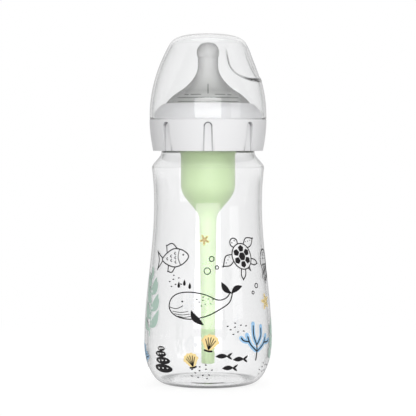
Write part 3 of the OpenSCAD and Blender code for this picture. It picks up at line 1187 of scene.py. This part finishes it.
@dataclass
class TravelCap(Piece):
    """The clear domed cap with a thumb recess near its top."""

    part = ("cap_dome", Body.CAP, "clear_cap")
    stack: Stack
    wall: float = 1.25
    straight_h: float = 2.0
    draw: float = 10.7
    dome_h: float = 6.1
    dome_side: float = 0.52
    dome_flat: float = 0.77
    edge_round: float = 0.35
    recess_turn: float = 66.5
    recess_depth: float = 0.6
    recess_half_w: float = 17.0
    recess_foot_h: float = 20.3
    recess_bow_h: float = 11.7
    recess_fullness: float = 0.77
    recess_fade_h: float = 9.0
    recess_over: float = 0.2
    step_w: float = 0.3
    step_in_w: float = 2.4
    # painted shade: width of the dark line along the step, where it is taken off at the foot's middle, and how
    # much painted edge shade the dome loses
    painted_line_blur: float = 2.0
    plain_foot: tuple[float, float] = (5.0, 11.0)
    plain_dome: float = 0.8
    row_h: float = 0.3
    near_turn: float = 68.0
    near_step: float = 0.5
    far_columns: int = 74

    def side(self) -> np.ndarray:
        """Outer line from the rim up to the top of the dome, with short steps where the recess is.

        Returns:
            Points as radius and height.
        """
        st = self.stack
        dome_z, dome_r = st.cap_top_z - self.dome_h, st.collar_r - self.draw
        slope = -2 * self.draw / (dome_z - st.ledge_z - self.straight_h)
        body = swept((st.collar_r, st.ledge_z + self.straight_h), (dome_r, dome_z), 0, slope, 400)
        foot_z, rise = st.ledge_z + self.recess_foot_h, self.dome_side * self.dome_h
        heights = np.r_[
            np.linspace(st.ledge_z + self.straight_h, foot_z - 5 * self.row_h, 12),
            np.arange(foot_z - 4 * self.row_h, dome_z, self.row_h),
            dome_z,
        ]
        handles = [(dome_r, dome_z), (dome_r + rise * slope, dome_z + rise)]
        handles += [(self.dome_flat * dome_r, st.cap_top_z), (0, st.cap_top_z)]
        return chain(
            (st.collar_r, st.ledge_z),
            np.stack([np.interp(heights, body[:, 1], body[:, 0]), heights], 1),
            bezier(handles, 30),
        )

    def azimuths(self) -> np.ndarray:
        """Azimuths of the columns, close together across the recess."""
        return two_pitches(self.recess_turn, self.near_turn, self.near_step, self.far_columns)

    def recess(
        self, radius: np.ndarray, height: np.ndarray, azimuth: np.ndarray, grow: float, step: float
    ) -> tuple[np.ndarray, np.ndarray]:
        """Depth of the recess at each point of the wall, and how near the point is to its step.

        The outline has upright sides over a round foot, a superellipse of power 2 over the fullness in the sine
        of the azimuth and in height. The depth fades above, below the dome, and rises from nothing over the
        step's width.

        Args:
            radius: Radius by row.
            height: Height by row.
            azimuth: Azimuths in radians, by column.
            grow: How much larger than the recess the outline is.
            step: Width of the step round it.

        Returns:
            Depth by row and column, and nearness by row and column: 1 in the middle of the step, -1 where the
            step crosses the middle of the foot, 0 well away from it. The nearness is the shade: painted shade, a
            dark line along the step, and at -1 no painted edge shade.
        """
        st = self.stack
        turn = azimuth[None, :] - math.radians(self.recess_turn)
        bow_z = st.ledge_z + self.recess_foot_h + self.recess_bow_h
        bow_r = np.interp(bow_z, height, radius)
        across = bow_r * np.sin(turn) / (self.recess_half_w + grow)
        down = np.maximum(bow_z - height, 0)[:, None] / (self.recess_bow_h + grow)
        power = 2 / self.recess_fullness
        rim = (np.abs(across) ** power + down**power) ** (1 / power)
        away = (1 - rim) * self.recess_bow_h / step
        front = np.cos(turn) > 0
        dome_z = st.cap_top_z - self.dome_h
        fade = ease((height - dome_z + self.recess_fade_h) / self.recess_fade_h)
        share = np.maximum((1 + self.recess_over) * (1 - fade) - self.recess_over, 0)[:, None] * front
        # painted shade: a dark line along the step, taken off at the foot's middle
        near = ease(1 - np.abs(away - 0.5) / self.painted_line_blur)
        start, end = self.plain_foot
        beside = ease((np.degrees(np.abs(turn)) - start) / (end - start))
        return self.recess_depth * share * ease(away), share * near * (2 * beside - 1)

    def mesh(self) -> bpy.types.Mesh:
        """One closed grid, up the outside, round the pole and down the inside, all pushed in at the recess.

        Returns:
            The mesh.
        """
        st, outer = self.stack, self.side()
        inner = inset(outer, self.wall)
        azimuth = self.azimuths()

        def pushed(line: np.ndarray, grow: float, step: float) -> tuple[np.ndarray, np.ndarray]:
            """The line turned and moved along its inward normal by the recess's depth, and the nearness.

            Args:
                line: Points of the line.
                grow: How far the recess is widened.
                step: Width of its step.

            Returns:
                Points in space, and the nearness to the step.
            """
            depth, near = self.recess(line[:, 0], line[:, 1], azimuth, grow, step)
            normal = leftward(line)
            radius = line[:, :1] + normal[:, :1] * depth
            return turned(radius, line[:, 1:] + normal[:, 1:] * depth, azimuth)[1:], near[1:]

        rim = softened(chain(inner[1], inner[0], outer[0], outer[1]), self.edge_round)[1:-1]
        outside, step_painted_line = pushed(outer, 0, self.step_w)
        inside, near_in = pushed(inner, self.recess_depth, self.step_in_w)
        shell = np.concatenate([turned(rim[:, 0], rim[:, 1], azimuth), outside, inside[::-1]])
        # shade: -1 at the rim and on the dome takes the painted edge shade away; the outside's step carries the
        # painted dark line
        plain_rim = np.full((len(rim), len(azimuth)), -1.0)
        shade = np.concatenate([plain_rim, step_painted_line, np.minimum(near_in, 0)[::-1]])
        on_dome = ease((shell[..., 2] - st.cap_top_z + self.dome_h + 1.5) / 4)
        shade = shade - self.plain_dome * on_dome * (shade < 0.02)
        return Shell().add(shell, round_rows=True, shade=shade).mesh("cap_dome")


# ------------------------------------------------------------------ print


class Ink(Enum):
    """The inks of the print: name, colour, and height of the ink's top above the wall in millimetres."""

    SAGE = ("sage", (0.45, 0.60, 0.52), 0.05)
    BLUE = ("blue", (0.32, 0.54, 0.77), 0.05)
    YELLOW = ("yellow", (0.82, 0.65, 0.31), 0.05)
    BLACK = ("black", (0.008, 0.007, 0.008), 0.09)
    WHITE = ("white", (0.85, 0.85, 0.85), 0.13)


class Taper(Enum):
    """How a stroke's half width runs along it."""

    EVEN = "the same all the way, with round ends"
    LEAF = "from a point to the middle and back to a point"
    DROP = "from a point at the start to a round end"


def curved(points: Sequence[Sequence[float]], closed: bool) -> np.ndarray:
    """Smooth line through points, six steps of a Catmull-Rom curve between two; a double point is a corner.

    A stretch from b to c with neighbours a and d is half of 2b + (c-a)t + (2a-5b+4c-d)t^2 + (3b-a-3c+d)t^3.

    Args:
        points: The points in order.
        closed: Whether the last stretch leads back to the first point.

    Returns:
        The points of the line.
    """
    p, steps = np.asarray(points, float), 6
    ring = np.vstack([p[-1:], p, p[:2]]) if closed else np.vstack([p[:1], p, p[-1:]])
    a, b, c, d = (ring[i : len(ring) - 3 + i, None] for i in range(4))
    t = np.arange(steps)[None, :, None] / steps
    curve = (2 * b + (c - a) * t + (2 * a - 5 * b + 4 * c - d) * t**2 + (3 * b - a - 3 * c + d) * t**3) / 2
    line = chain(curve.reshape(-1, 2), p[:1] if closed else p[-1:])
    return line[:-1] if closed else line


def rounded_polygon(radius: float, corners: int, turn: float = 0.0) -> Callable[[np.ndarray], np.ndarray]:
    """Distance from the middle of a polygon to its edge, capped at 0.93 of the corners' distance.

    Args:
        radius: Distance of the corners.
        corners: Their number.
        turn: Angle of a corner in degrees.

    Returns:
        The distance as a function of the angle in radians.
    """
    half = math.pi / corners

    def edge(angle: np.ndarray) -> np.ndarray:
        """The middle of a side is at radius times the cosine of half a side's angle."""
        beside = (angle - math.radians(turn)) % (2 * half) - half
        return np.minimum(radius * math.cos(half) / np.cos(beside), 0.93 * radius)

    return edge


class Sheet:
    """Marks drawn flat, in millimetres along the wall and up it, and wrapped round the bottle by ink."""

    def __init__(self, bottle: BottleShell, reach: float = 32.0, sink: float = 0.02) -> None:
        """Starts an empty sheet; its width is true at the radius reach, and ink goes in by sink.

        Args:
            bottle: The bottle that is printed.
            reach: Radius at which the width is true.
            sink: Depth of the ink's foot in the wall.
        """
        self.side = bottle.side()
        self.reach = reach
        self.sink = sink
        self.shells = {ink: Shell() for ink in Ink}

    def wrapped(self, flat: np.ndarray, lift: float) -> np.ndarray:
        """Points on the wall: the azimuth is width over reach, and the radius the wall's plus the lift.

        Args:
            flat: Points on the sheet.
            lift: Distance out from the wall.

        Returns:
            Points in space.
        """
        azimuth, height = flat[..., 0] / self.reach, flat[..., 1]
        radius = np.interp(height, self.side[:, 1], self.side[:, 0]) + lift
        return np.stack([radius * np.sin(azimuth), -radius * np.cos(azimuth), height], -1)

    def stroke(self, ink: Ink, line: np.ndarray, width: float, taper: Taper, closed: bool) -> None:
        """Adds a stroke: at each point of the line, points across it on the ink's top and back on its foot.

        Args:
            ink: Its ink.
            line: Its middle line on the sheet.
            width: Its greatest width.
            taper: How the width runs.
            closed: Whether the line is a ring.
        """
        half = width / 2
        if closed:
            chord = np.roll(line, -1, 0) - np.roll(line, 1, 0)
            reach = np.full(len(line), half)
        else:
            along = np.r_[0, np.cumsum(np.linalg.norm(np.diff(line, axis=0), axis=1))]
            ends = half * np.array([0.1, 0.4, 1.0])  # points added near both ends, for their rounding
            where = np.unique(np.round(np.r_[along, ends, along[-1] - ends], 5))
            where = where[(where >= 0) & (where <= along[-1])]
            line = np.stack([np.interp(where, along, line[:, 0]), np.interp(where, along, line[:, 1])], 1)
            chord = np.gradient(line, axis=0)
            t = where / where[-1]
            if taper is Taper.EVEN:
                left = np.minimum(np.minimum(where, where[-1] - where) / half, 1)
                reach = half * np.sqrt(1 - (1 - left) ** 2)
            elif taper is Taper.LEAF:
                reach = half * np.sin(math.pi * t)
            else:
                reach = half * t * np.sqrt(1 - t) / 0.385  # the greatest value of t times the root of 1 - t
        side = np.stack([-chord[:, 1], chord[:, 0]], 1) / np.linalg.norm(chord, axis=1, keepdims=True)
        across = np.linspace(-1, 1, max(2, math.ceil(width) + 1))
        flat = line[:, None] + side[:, None] * (reach[:, None] * across)[..., None]
        grid = np.concatenate([self.wrapped(flat, ink.value[2]), self.wrapped(flat[:, ::-1], -self.sink)], 1)
        self.shells[ink].add(grid, round_rows=closed)

    def patch(self, ink: Ink, centre: np.ndarray, rim: np.ndarray) -> None:
        """Adds a solid: rings from the centre out to the rim on the ink's top, and back in on its foot.

        Args:
            ink: Its ink.
            centre: Its middle on the sheet.
            rim: Points round its edge.
        """
        share = np.linspace(0, 1, 5)[:, None, None]
        flat = centre + share * (rim - centre)[None]
        grid = np.concatenate([self.wrapped(flat, ink.value[2]), self.wrapped(flat[::-1], -self.sink)])
        self.shells[ink].add(grid)


@dataclass(frozen=True)
class Pen:
    """Draws a motif on the sheet about its own origin, turned, sized and mirrored."""

    sheet: Sheet
    spot: tuple[float, float]
    size: float = 1.0
    turn: float = 0.0
    mirrored: bool = False

    def at(self, points: np.ndarray | Sequence) -> np.ndarray:
        """The motif's points on the sheet.

        Args:
            points: Points of the motif.

        Returns:
            The points on the sheet.
        """
        p = np.asarray(points, float) * self.size
        p = p * ((-1, 1) if self.mirrored else (1, 1))
        a = math.radians(self.turn)
        turned_x = p[..., 0] * math.cos(a) - p[..., 1] * math.sin(a)
        turned_y = p[..., 0] * math.sin(a) + p[..., 1] * math.cos(a)
        return np.stack([turned_x, turned_y], -1) + self.spot

    def line(
        self, ink: Ink, points: Sequence, width: float = 0.6, taper: Taper = Taper.EVEN, closed: bool = False
    ) -> None:
        """Draws a smooth stroke through points."""
        self.sheet.stroke(ink, self.at(curved(points, closed)), width, taper, closed)

    def solid(
        self, ink: Ink, centre: Sequence[float], edge: Callable[[np.ndarray], np.ndarray], stretch: float = 1
    ) -> None:
        """Fills a shape whose edge is a distance from its centre at each angle, stretched along its width.

        Args:
            ink: Its ink.
            centre: Its middle.
            edge: Distance of the edge at each angle.
            stretch: Width over height.
        """
        angle = whole_turn(60)
        rim = edge(angle)[:, None] * ellipse(angle, stretch, 1)
        self.sheet.patch(ink, self.at(centre), self.at(np.asarray(centre, float) + rim))

    def dot(self, centre: Sequence[float], radius: float, stretch: float = 1.0, ink: Ink = Ink.BLACK) -> None:
        """Fills a circle or, when it is stretched, an oval."""
        self.solid(ink, centre, lambda angle: np.full(angle.shape, radius), stretch)

    def ring(self, ink: Ink, centre: Sequence[float], radius: float, width: float = 0.5) -> None:
        """Draws a circle's outline."""
        edge = np.asarray(centre) + ellipse(whole_turn(14), radius, radius)
        self.line(ink, edge, width, closed=True)

    def dashes(self, centre: Sequence[float], count: int, spread: float, width: float = 0.5) -> None:
        """Scatters short dashes, each a golden angle from the last, at spread times the root of its number.

        Args:
            centre: Middle of the group.
            count: Number of dashes.
            spread: Distance of the first dash.
            width: Their width.
        """
        golden = 2.4
        number = np.arange(1, count + 1)
        angle = number * golden
        middle = np.asarray(centre) + (spread * np.sqrt(number))[:, None] * ellipse(angle, 1.5, 1)
        reach = 0.85 * width / self.size
        for (x, y), lean in zip(middle, 0.35 * np.sin(3 * angle)):
            self.line(Ink.BLACK, [(x - reach, y - lean * reach), (x + reach, y + lean * reach)], width)


@dataclass
class SeaPrint:
    """The print round the front: outlined sea animals, weed, coral, shells and pebbles."""

    bottle: BottleShell

    def whale(self, pen: Pen) -> None:
        """Whale seen from its side, with black tail and flipper, and three drops over its head.

        Args:
            pen: The pen that draws it.
        """
        body = [(-18, 0.4), (-16.6, 4), (-12.6, 6.6), (-6, 7.4), (1.5, 6.2), (8, 3.4), (12.4, 4.4)]
        body += [(14.6, 7.2), (14.6, 7.2), (15.8, 6.6), (15.8, 6.6), (14, 2), (9, -1.6), (2, -5.2)]
        body += [(-6, -6.8), (-13, -5.6), (-17, -2.8)]
        pen.line(Ink.BLACK, body, closed=True)
        for width, fin in (
            (3.0, [(15.2, 6.6), (12.2, 9), (10, 12.8)]),
            (3.0, [(15.2, 6.6), (18.2, 9.2), (22, 10.4)]),
            (3.2, [(-5.6, -2), (-3.6, -6.2), (1.2, -10)]),
        ):
            pen.line(Ink.BLACK, fin, width, Taper.LEAF)
        pen.line(Ink.BLACK, [(-17.8, -0.8), (-13.6, -1.5), (-9.8, 0.2)], 0.4)
        for x, y, end in ((-15.8, -2.9, -7), (-14.6, -4.2, -6.2), (-12.6, -5.4, -5.6)):
            pen.line(Ink.BLACK, [(x, y), ((x + end) / 2, y - 0.5), (end, y + 0.1)], 0.35)
        pen.dot((-10.4, 2.4), 0.5)
        pen.dashes((1.5, 2.6), 9, 1.0)
        for x, y in ((-12.8, 9.4), (-9.6, 10.6), (-6.6, 9.0)):
            pen.line(Ink.BLACK, [(x, y + 3.4), (x, y)], 1.5, Taper.DROP)

    def turtle(self, pen: Pen) -> None:
        """Turtle seen from above, its shell filled with seven black plates.

        Args:
            pen: The pen that draws it.
        """
        pen.line(Ink.BLACK, ellipse(whole_turn(16), 8.4, 7), closed=True)
        pen.solid(Ink.BLACK, (0, 0), rounded_polygon(2.5, 6), 1.15)
        for turn in range(30, 390, 60):
            a = math.radians(turn)
            plate = rounded_polygon(2.1, 5, turn)
            pen.solid(Ink.BLACK, (5.15 * math.cos(a), 4.3 * math.sin(a)), plate, 1.12)
        for way in (1, -1):
            front = [(5.4, 5.4), (7, 9.6), (3, 14.4), (3, 14.4), (0.8, 10.6), (1.4, 7)]
            back = [(-5.6, 5.3), (-8.6, 7.8), (-11.6, 8.2), (-11.6, 8.2), (-10.6, 5.2), (-7.7, 2.8)]
            for flipper in (front, back):
                pen.line(Ink.BLACK, [(x, y * way) for x, y in flipper])
            pen.dot((11.2, 1.1 * way), 0.4)
            for x, y in ((4.4, 9.6), (3.6, 11.6), (5.4, 7.8)):
                pen.dot((x, y * way), 0.32)
        pen.line(Ink.BLACK, [(8.2, 1.8), (10.6, 2.7), (13, 1.3), (13, -1.3), (10.6, -2.7), (8.2, -1.8)])
        pen.line(Ink.BLACK, [(-8.3, 0.8), (-10.8, 0), (-10.8, 0), (-8.3, -0.8)])

    def fish(self, pen: Pen) -> None:
        """Outlined fish with rows of scales, a gill and three fins.

        Args:
            pen: The pen that draws it.
        """
        body = [(10.8, 0), (7.4, 3.7), (1.5, 5.1), (-4.5, 2.9), (-7.6, 0.7)]
        body += [(-7.6, -0.7), (-4.5, -2.9), (1.5, -5.1), (7.4, -3.7)]
        tail = [(-7.6, 0.7), (-12.6, 4.8), (-12.6, 4.8), (-11.2, 0)]
        tail += [(-12.6, -4.8), (-12.6, -4.8), (-7.6, -0.7)]
        pen.line(Ink.BLACK, body, closed=True)
        pen.line(Ink.BLACK, tail)
        pen.line(Ink.BLACK, [(5.4, 4.5), (4.1, 0), (5.4, -4.5)], 0.4)
        pen.line(Ink.BLACK, [(4, 4.9), (0.6, 8.2), (-4, 7.4), (-4, 7.4), (-3.8, 3.2)])
        pen.line(Ink.BLACK, [(1.8, -5.1), (-0.8, -7.8), (-3.6, -7), (-3.6, -7), (-3, -3.6)])
        pen.dot((7.6, 1.1), 0.5)
        for x, y in ((2, 2.4), (2, 0), (2, -2.4), (-1, 1.2), (-1, -1.2), (-4, 0)):
            pen.line(Ink.BLACK, [(x + 0.7, y + 0.8), (x - 0.3, y), (x + 0.7, y - 0.8)], 0.45)

    def minnow(self, pen: Pen) -> None:
        """Small solid fish.

        Args:
            pen: The pen that draws it.
        """
        pen.line(Ink.BLACK, [(-3, 0), (0, 0.2), (3.4, 0)], 2.6, Taper.LEAF)
        for way in (1, -1):
            pen.line(Ink.BLACK, [(-2.2, 0), (-3.8, 0.7 * way), (-5.2, 1.9 * way)], 1.2, Taper.LEAF)

    def weed(self, pen: Pen, leaves: int) -> None:
        """Solid weed: a waving stem whose leaves curve up and out from both sides, and one at its top.

        Args:
            pen: The pen that draws it.
            leaves: Number of pairs of leaves.
        """
        height = 4.6 * (leaves + 1)
        rise = np.linspace(0, height, 9)
        sway = 1.6 * np.sin(rise / 7)
        pen.line(Ink.SAGE, np.stack([sway, rise], 1), 0.9)
        for k in range(leaves):
            y, way = 3.4 + 4.6 * k, 1 if k % 2 else -1
            x = 1.6 * math.sin(y / 7)
            reach = 1.1 - 0.35 * k / leaves
            for side, lift in ((way, 0), (-way, 2)):
                foot = y + lift
                leaf = [(x, foot), (x + 4.6 * side * reach, foot + 2.6), (x + 7.4 * side * reach, foot + 8)]
                pen.line(Ink.SAGE, leaf, 3.6, Taper.LEAF)
        top = [(sway[-1], height - 1), (sway[-1] + 0.8, height + 4), (sway[-1], height + 8)]
        pen.line(Ink.SAGE, top, 3.2, Taper.LEAF)

    def coral(self, pen: Pen) -> None:
        """Wide blue branches with thin black ones along their middles.

        Args:
            pen: The pen that draws it.
        """
        branches = [
            [(0.2, 5), (-4.4, 9.2), (-7, 15.6)],
            [(0, 8.4), (-2.2, 14), (-2.4, 21.4)],
            [(0, 8.4), (3.2, 13), (3.4, 19.4)],
            [(0.2, 5), (5.2, 8.4), (8.4, 14)],
            [(-5.2, 10.6), (-8.6, 11.4), (-10.8, 14)],
            [(6, 9.4), (9.8, 9.4), (12.2, 11)],
        ]
        for branch in branches:
            pen.line(Ink.BLUE, branch, 2.4)
            start, middle, (x, y) = branch
            short = (x + 0.3 * (middle[0] - x), y + 0.3 * (middle[1] - y))
            pen.line(Ink.BLACK, [start, middle, short], 0.7)
        pen.line(Ink.BLACK, [(0, 0), (0.3, 5), (0, 9)], 0.8)

    def star(self, pen: Pen, reach: float) -> None:
        """Starfish: the edge is at reach times 0.68 plus 0.32 times the cosine of five times the angle.

        Args:
            pen: The pen that draws it.
            reach: Greatest radius.
        """
        pen.solid(Ink.YELLOW, (0, 0), lambda angle: reach * (0.68 + 0.32 * np.cos(5 * angle - math.pi / 2)))
        for k in range(5):
            a = math.radians(18 + 72 * k)
            for share in (0.28, 0.56):
                pen.dot((share * reach * math.cos(a), share * reach * math.sin(a)), 0.27)

    def scallop(self, pen: Pen) -> None:
        """Fan shell: a yellow fan with a waved rim, black ribs from the hinge and a black hinge.

        Args:
            pen: The pen that draws it.
        """

        def fan(angle: np.ndarray) -> np.ndarray:
            """A circle with small waves, drawn in towards the hinge below.

            Args:
                angle: Angles about the middle.

            Returns:
                Distances of the rim.
            """
            low = np.clip(-np.sin(angle), 0, 1)
            waved = 4.3 + 0.22 * np.cos(11 * angle - math.pi / 2) * (1 - low)
            return waved * (1 - 0.22 * low * (1 - low) * 4)

        pen.solid(Ink.YELLOW, (0, 0), fan)
        for lean in (-56, -28, 0, 28, 56):
            a = math.radians(90 + lean)
            pen.line(Ink.BLACK, [(0, -4), (3.1 * math.cos(a), 3.1 * math.sin(a) - 0.2)], 0.42)
        pen.line(Ink.BLACK, [(-2.2, -4.3), (0, -4.7), (2.2, -4.3)], 1.0)

    def pebbles(self, pen: Pen) -> None:
        """Four black pebbles on each other, each with a few white marks.

        Args:
            pen: The pen that draws it.
        """
        pile = ((0, 2.4, 2.4, 2.7), (0.7, 6.7, 2.0, 2.5), (-0.3, 10.3, 1.7, 2.2), (0.3, 13.2, 1.3, 1.9))
        for x, y, radius, stretch in pile:
            pen.dot((x, y), radius, stretch)
            for k in (-1, 0, 1):
                mark = x + 0.5 * k * radius * stretch
                curl = [(mark - 0.55, y + 0.5), (mark, y - 0.1 + 0.3 * k), (mark + 0.55, y + 0.5)]
                pen.line(Ink.WHITE, curl, 0.42)

    def jelly(self, pen: Pen) -> None:
        """Outlined jellyfish: a dome, a waved hem and five waving arms.

        Args:
            pen: The pen that draws it.
        """
        pen.line(Ink.BLACK, [(-6, 0), (-6, 4), (-3.6, 7.6), (0, 8.8), (3.6, 7.6), (6, 4), (6, 0)])
        hem = np.linspace(-6, 6, 13)
        pen.line(Ink.BLACK, np.stack([hem, -0.7 * np.abs(np.sin(hem * math.pi / 3))], 1), 0.42)
        for k in range(-2, 3):
            fall = np.linspace(0, 11 - 1.6 * abs(k), 8)
            pen.line(Ink.BLACK, np.stack([2.2 * k + 0.8 * np.sin(fall * 1.1 + k), -0.9 - fall], 1), 0.42)
        pen.dot((-1.6, 3.2), 0.42)
        pen.dot((1.6, 3.2), 0.42)
        pen.dashes((0, 6), 4, 0.7)

    def draw(self, sheet: Sheet) -> None:
        """Places every motif on the sheet, from width -52 to 52 and height 6 to 84.

        Args:
            sheet: The sheet.
        """
        self.whale(Pen(sheet, (-3, 45)))
        self.turtle(Pen(sheet, (20, 71), 0.86, 125))
        self.fish(Pen(sheet, (-21, 70), 0.95, 8))
        self.weed(Pen(sheet, (-37, 27), 0.95), 6)
        self.coral(Pen(sheet, (27, 15)))
        self.jelly(Pen(sheet, (41, 66), 0.9))
        self.star(Pen(sheet, (37, 46), turn=10), 4.6)
        self.star(Pen(sheet, (-2, 80), turn=30), 3.0)
        self.scallop(Pen(sheet, (1, 26), turn=-12))
        self.scallop(Pen(sheet, (-8.5, 16.5), 0.9, 14))
        self.pebbles(Pen(sheet, (-26, 8.5)))
        for u, v in ((10.5, 12), (16, 16.5), (7, 18.5)):
            self.minnow(Pen(sheet, (u, v), mirrored=True))
        self.weed(Pen(sheet, (46, 12), 0.8), 4)
        self.coral(Pen(sheet, (-47, 9), 0.7))
        loose = Pen(sheet, (0, 0))
        bubbles = ((2, 70, 1.3), (4.8, 65.5, 0.9), (-0.4, 63.6, 1.7), (29, 55, 1.2), (26, 51.5, 0.8))
        for u, v, radius in bubbles:
            loose.ring(Ink.BLACK, (u, v), radius)
        for u, v, count in ((-3, 10, 12), (15, 33, 9), (36, 10, 8), (-18, 58, 7)):
            loose.dashes((u, v), count, 1.25, 0.6)

    def build(self) -> None:
        """Draws the sheet and makes one piece of each ink."""
        sheet = Sheet(self.bottle)
        self.draw(sheet)
        for ink, shell in sheet.shells.items():
            name, colour, _ = ink.value
            finish = PrintInk(f"ink_{name}", colour)
            piece = f"print_{name}"
            placed(piece, shell.mesh(piece), Place(Body.BOTTLE, "print_ink"), finish.material())


# ------------------------------------------------------------------ floor, light and camera


@dataclass(frozen=True)
class Lamp:
    """A soft rectangular lamp: place and size in metres, power in watts, and if clear plastic shows it."""

    name: str
    spot: tuple[float, float, float]
    size: tuple[float, float]
    power: float
    through: bool = True

    def build(self) -> None:
        """Makes the lamp, turned towards the bottle's middle."""
        data = bpy.data.lights.new(self.name, "AREA")
        data.shape, data.size, data.size_y, data.energy = "RECTANGLE", *self.size, self.power
        made = bpy.data.objects.new(self.name, data)
        bpy.context.scene.collection.objects.link(made)
        made.visible_glossy = False
        made.visible_transmission = self.through
        made.location = self.spot
        made.rotation_euler = (Vector((0, 0, 0.1)) - Vector(self.spot)).to_track_quat("-Z", "Y").to_euler()


@dataclass
class Studio:
    """White floor, plain soft light and the camera."""

    floor_size: float = 60.0
    floor_colour: tuple[float, float, float] = (0.85, 0.85, 0.85)
    floor_shown: tuple[float, float, float] = (0.2, 0.2, 0.2)
    floor_glow: float = 0.86
    shadow_reach: float = 0.12
    world_level: float = 0.5
    distance: float = 1.0
    eye_z: float = 0.133
    aim_z: float = 0.0958
    lens: float = 158.8
    lamps: tuple[Lamp, ...] = (
        Lamp("key", (0.0, -1.6, 0.32), (1.6, 0.62), 18.5),
        Lamp("side", (1.1, -0.7, 0.35), (0.5, 0.6), 1.6),
        Lamp("top", (0.0, 0.1, 1.2), (0.8, 0.8), 2.5),
        Lamp("back", (0.0, 1.9, 0.7), (2.2, 1.3), 9.0, through=False),
    )

    def floor(self) -> None:
        """A wide white floor that shows as white where it is lit and keeps the shadow."""
        half = self.floor_size / 2
        mesh = bpy.data.meshes.new("floor")
        corners = [(-half, -half, 0), (half, -half, 0), (half, half, 0), (-half, half, 0)]
        mesh.from_pydata(corners, [], [(0, 1, 2, 3)])
        made = bpy.data.objects.new("floor", mesh)
        bpy.context.scene.collection.objects.link(made)
        s = Shader("floor_white")
        seen = s.seen()
        colour = s.blend(seen, self.floor_colour, self.floor_shown)
        lit = s.node("ShaderNodeBsdfDiffuse", {}, {"Color": colour})
        glow = s.node("ShaderNodeEmission", {}, {"Color": (1, 1, 1, 1), "Strength": self.floor_glow * seen})
        near = s.node("ShaderNodeAddShader", {}, {0: lit, 1: glow})
        white = s.node("ShaderNodeEmission", {}, {"Color": (1, 1, 1, 1), "Strength": seen})
        reach = s.node("ShaderNodeVectorMath", {"operation": "LENGTH"}, {0: s.place()}, output="Value")
        span = {"Value": reach, "From Min": self.shadow_reach, "From Max": 3 * self.shadow_reach}
        apart = s.node("ShaderNodeMapRange", {"interpolation_type": "SMOOTHSTEP"}, span)
        both = s.node("ShaderNodeMixShader", {}, {0: apart, 1: near, 2: white})
        mesh.materials.append(s.finish(both))

    def world(self) -> None:
        """White where it is seen directly, reflected or through plastic, and a plain level as light."""
        s = Shader("studio", "worlds")
        levels = {"Value": s.seen(), "To Min": self.world_level, "To Max": 1.0}
        level = s.node("ShaderNodeMapRange", {}, levels)
        back = s.node("ShaderNodeBackground", {}, {"Color": (1, 1, 1, 1), "Strength": level})
        bpy.context.scene.world = s.finish(back, output="ShaderNodeOutputWorld")

    def camera(self) -> None:
        """The camera in front of the bottle, a little above its middle, looking slightly down."""
        data = bpy.data.cameras.new("camera")
        data.lens, data.sensor_width = self.lens, 36.0
        data.clip_start, data.clip_end = 0.05, 100.0
        made = bpy.data.objects.new("camera", data)
        bpy.context.scene.collection.objects.link(made)
        made.location = (0, -self.distance, self.eye_z)
        aim = Vector((0, self.distance, self.aim_z - self.eye_z))
        made.rotation_euler = aim.to_track_quat("-Z", "Y").to_euler()
        bpy.context.scene.camera = made

    def build(self) -> None:
        """Sets up the whole studio and the plain view transform."""
        self.floor()
        self.world()
        for lamp in self.lamps:
            lamp.build()
        self.camera()
        bpy.context.scene.view_settings.view_transform = "Standard"


def main() -> None:
    """Builds the studio and every piece in order."""
    logging.basicConfig(level=logging.INFO, format="%(name)s %(message)s")
    Studio().build()
    stack = Stack()
    green = TintedPlastic("vent_green")
    bottle = BottleShell(stack)
    bottle.build(ClearPlastic("bottle_clear"))
    SeaPrint(bottle).build()
    Reservoir(stack).build(green)
    Insert().build(green)
    Nipple(stack).build(Silicone("nipple_silicone"))
    Collar(stack).build(SolidPlastic("collar_white"))
    TravelCap(stack).build(ClearPlastic("cap_clear", clear=(0.99, 0.992, 0.994), mirror=0.02, density=20.0))


if __name__ == "__main__":
    main()
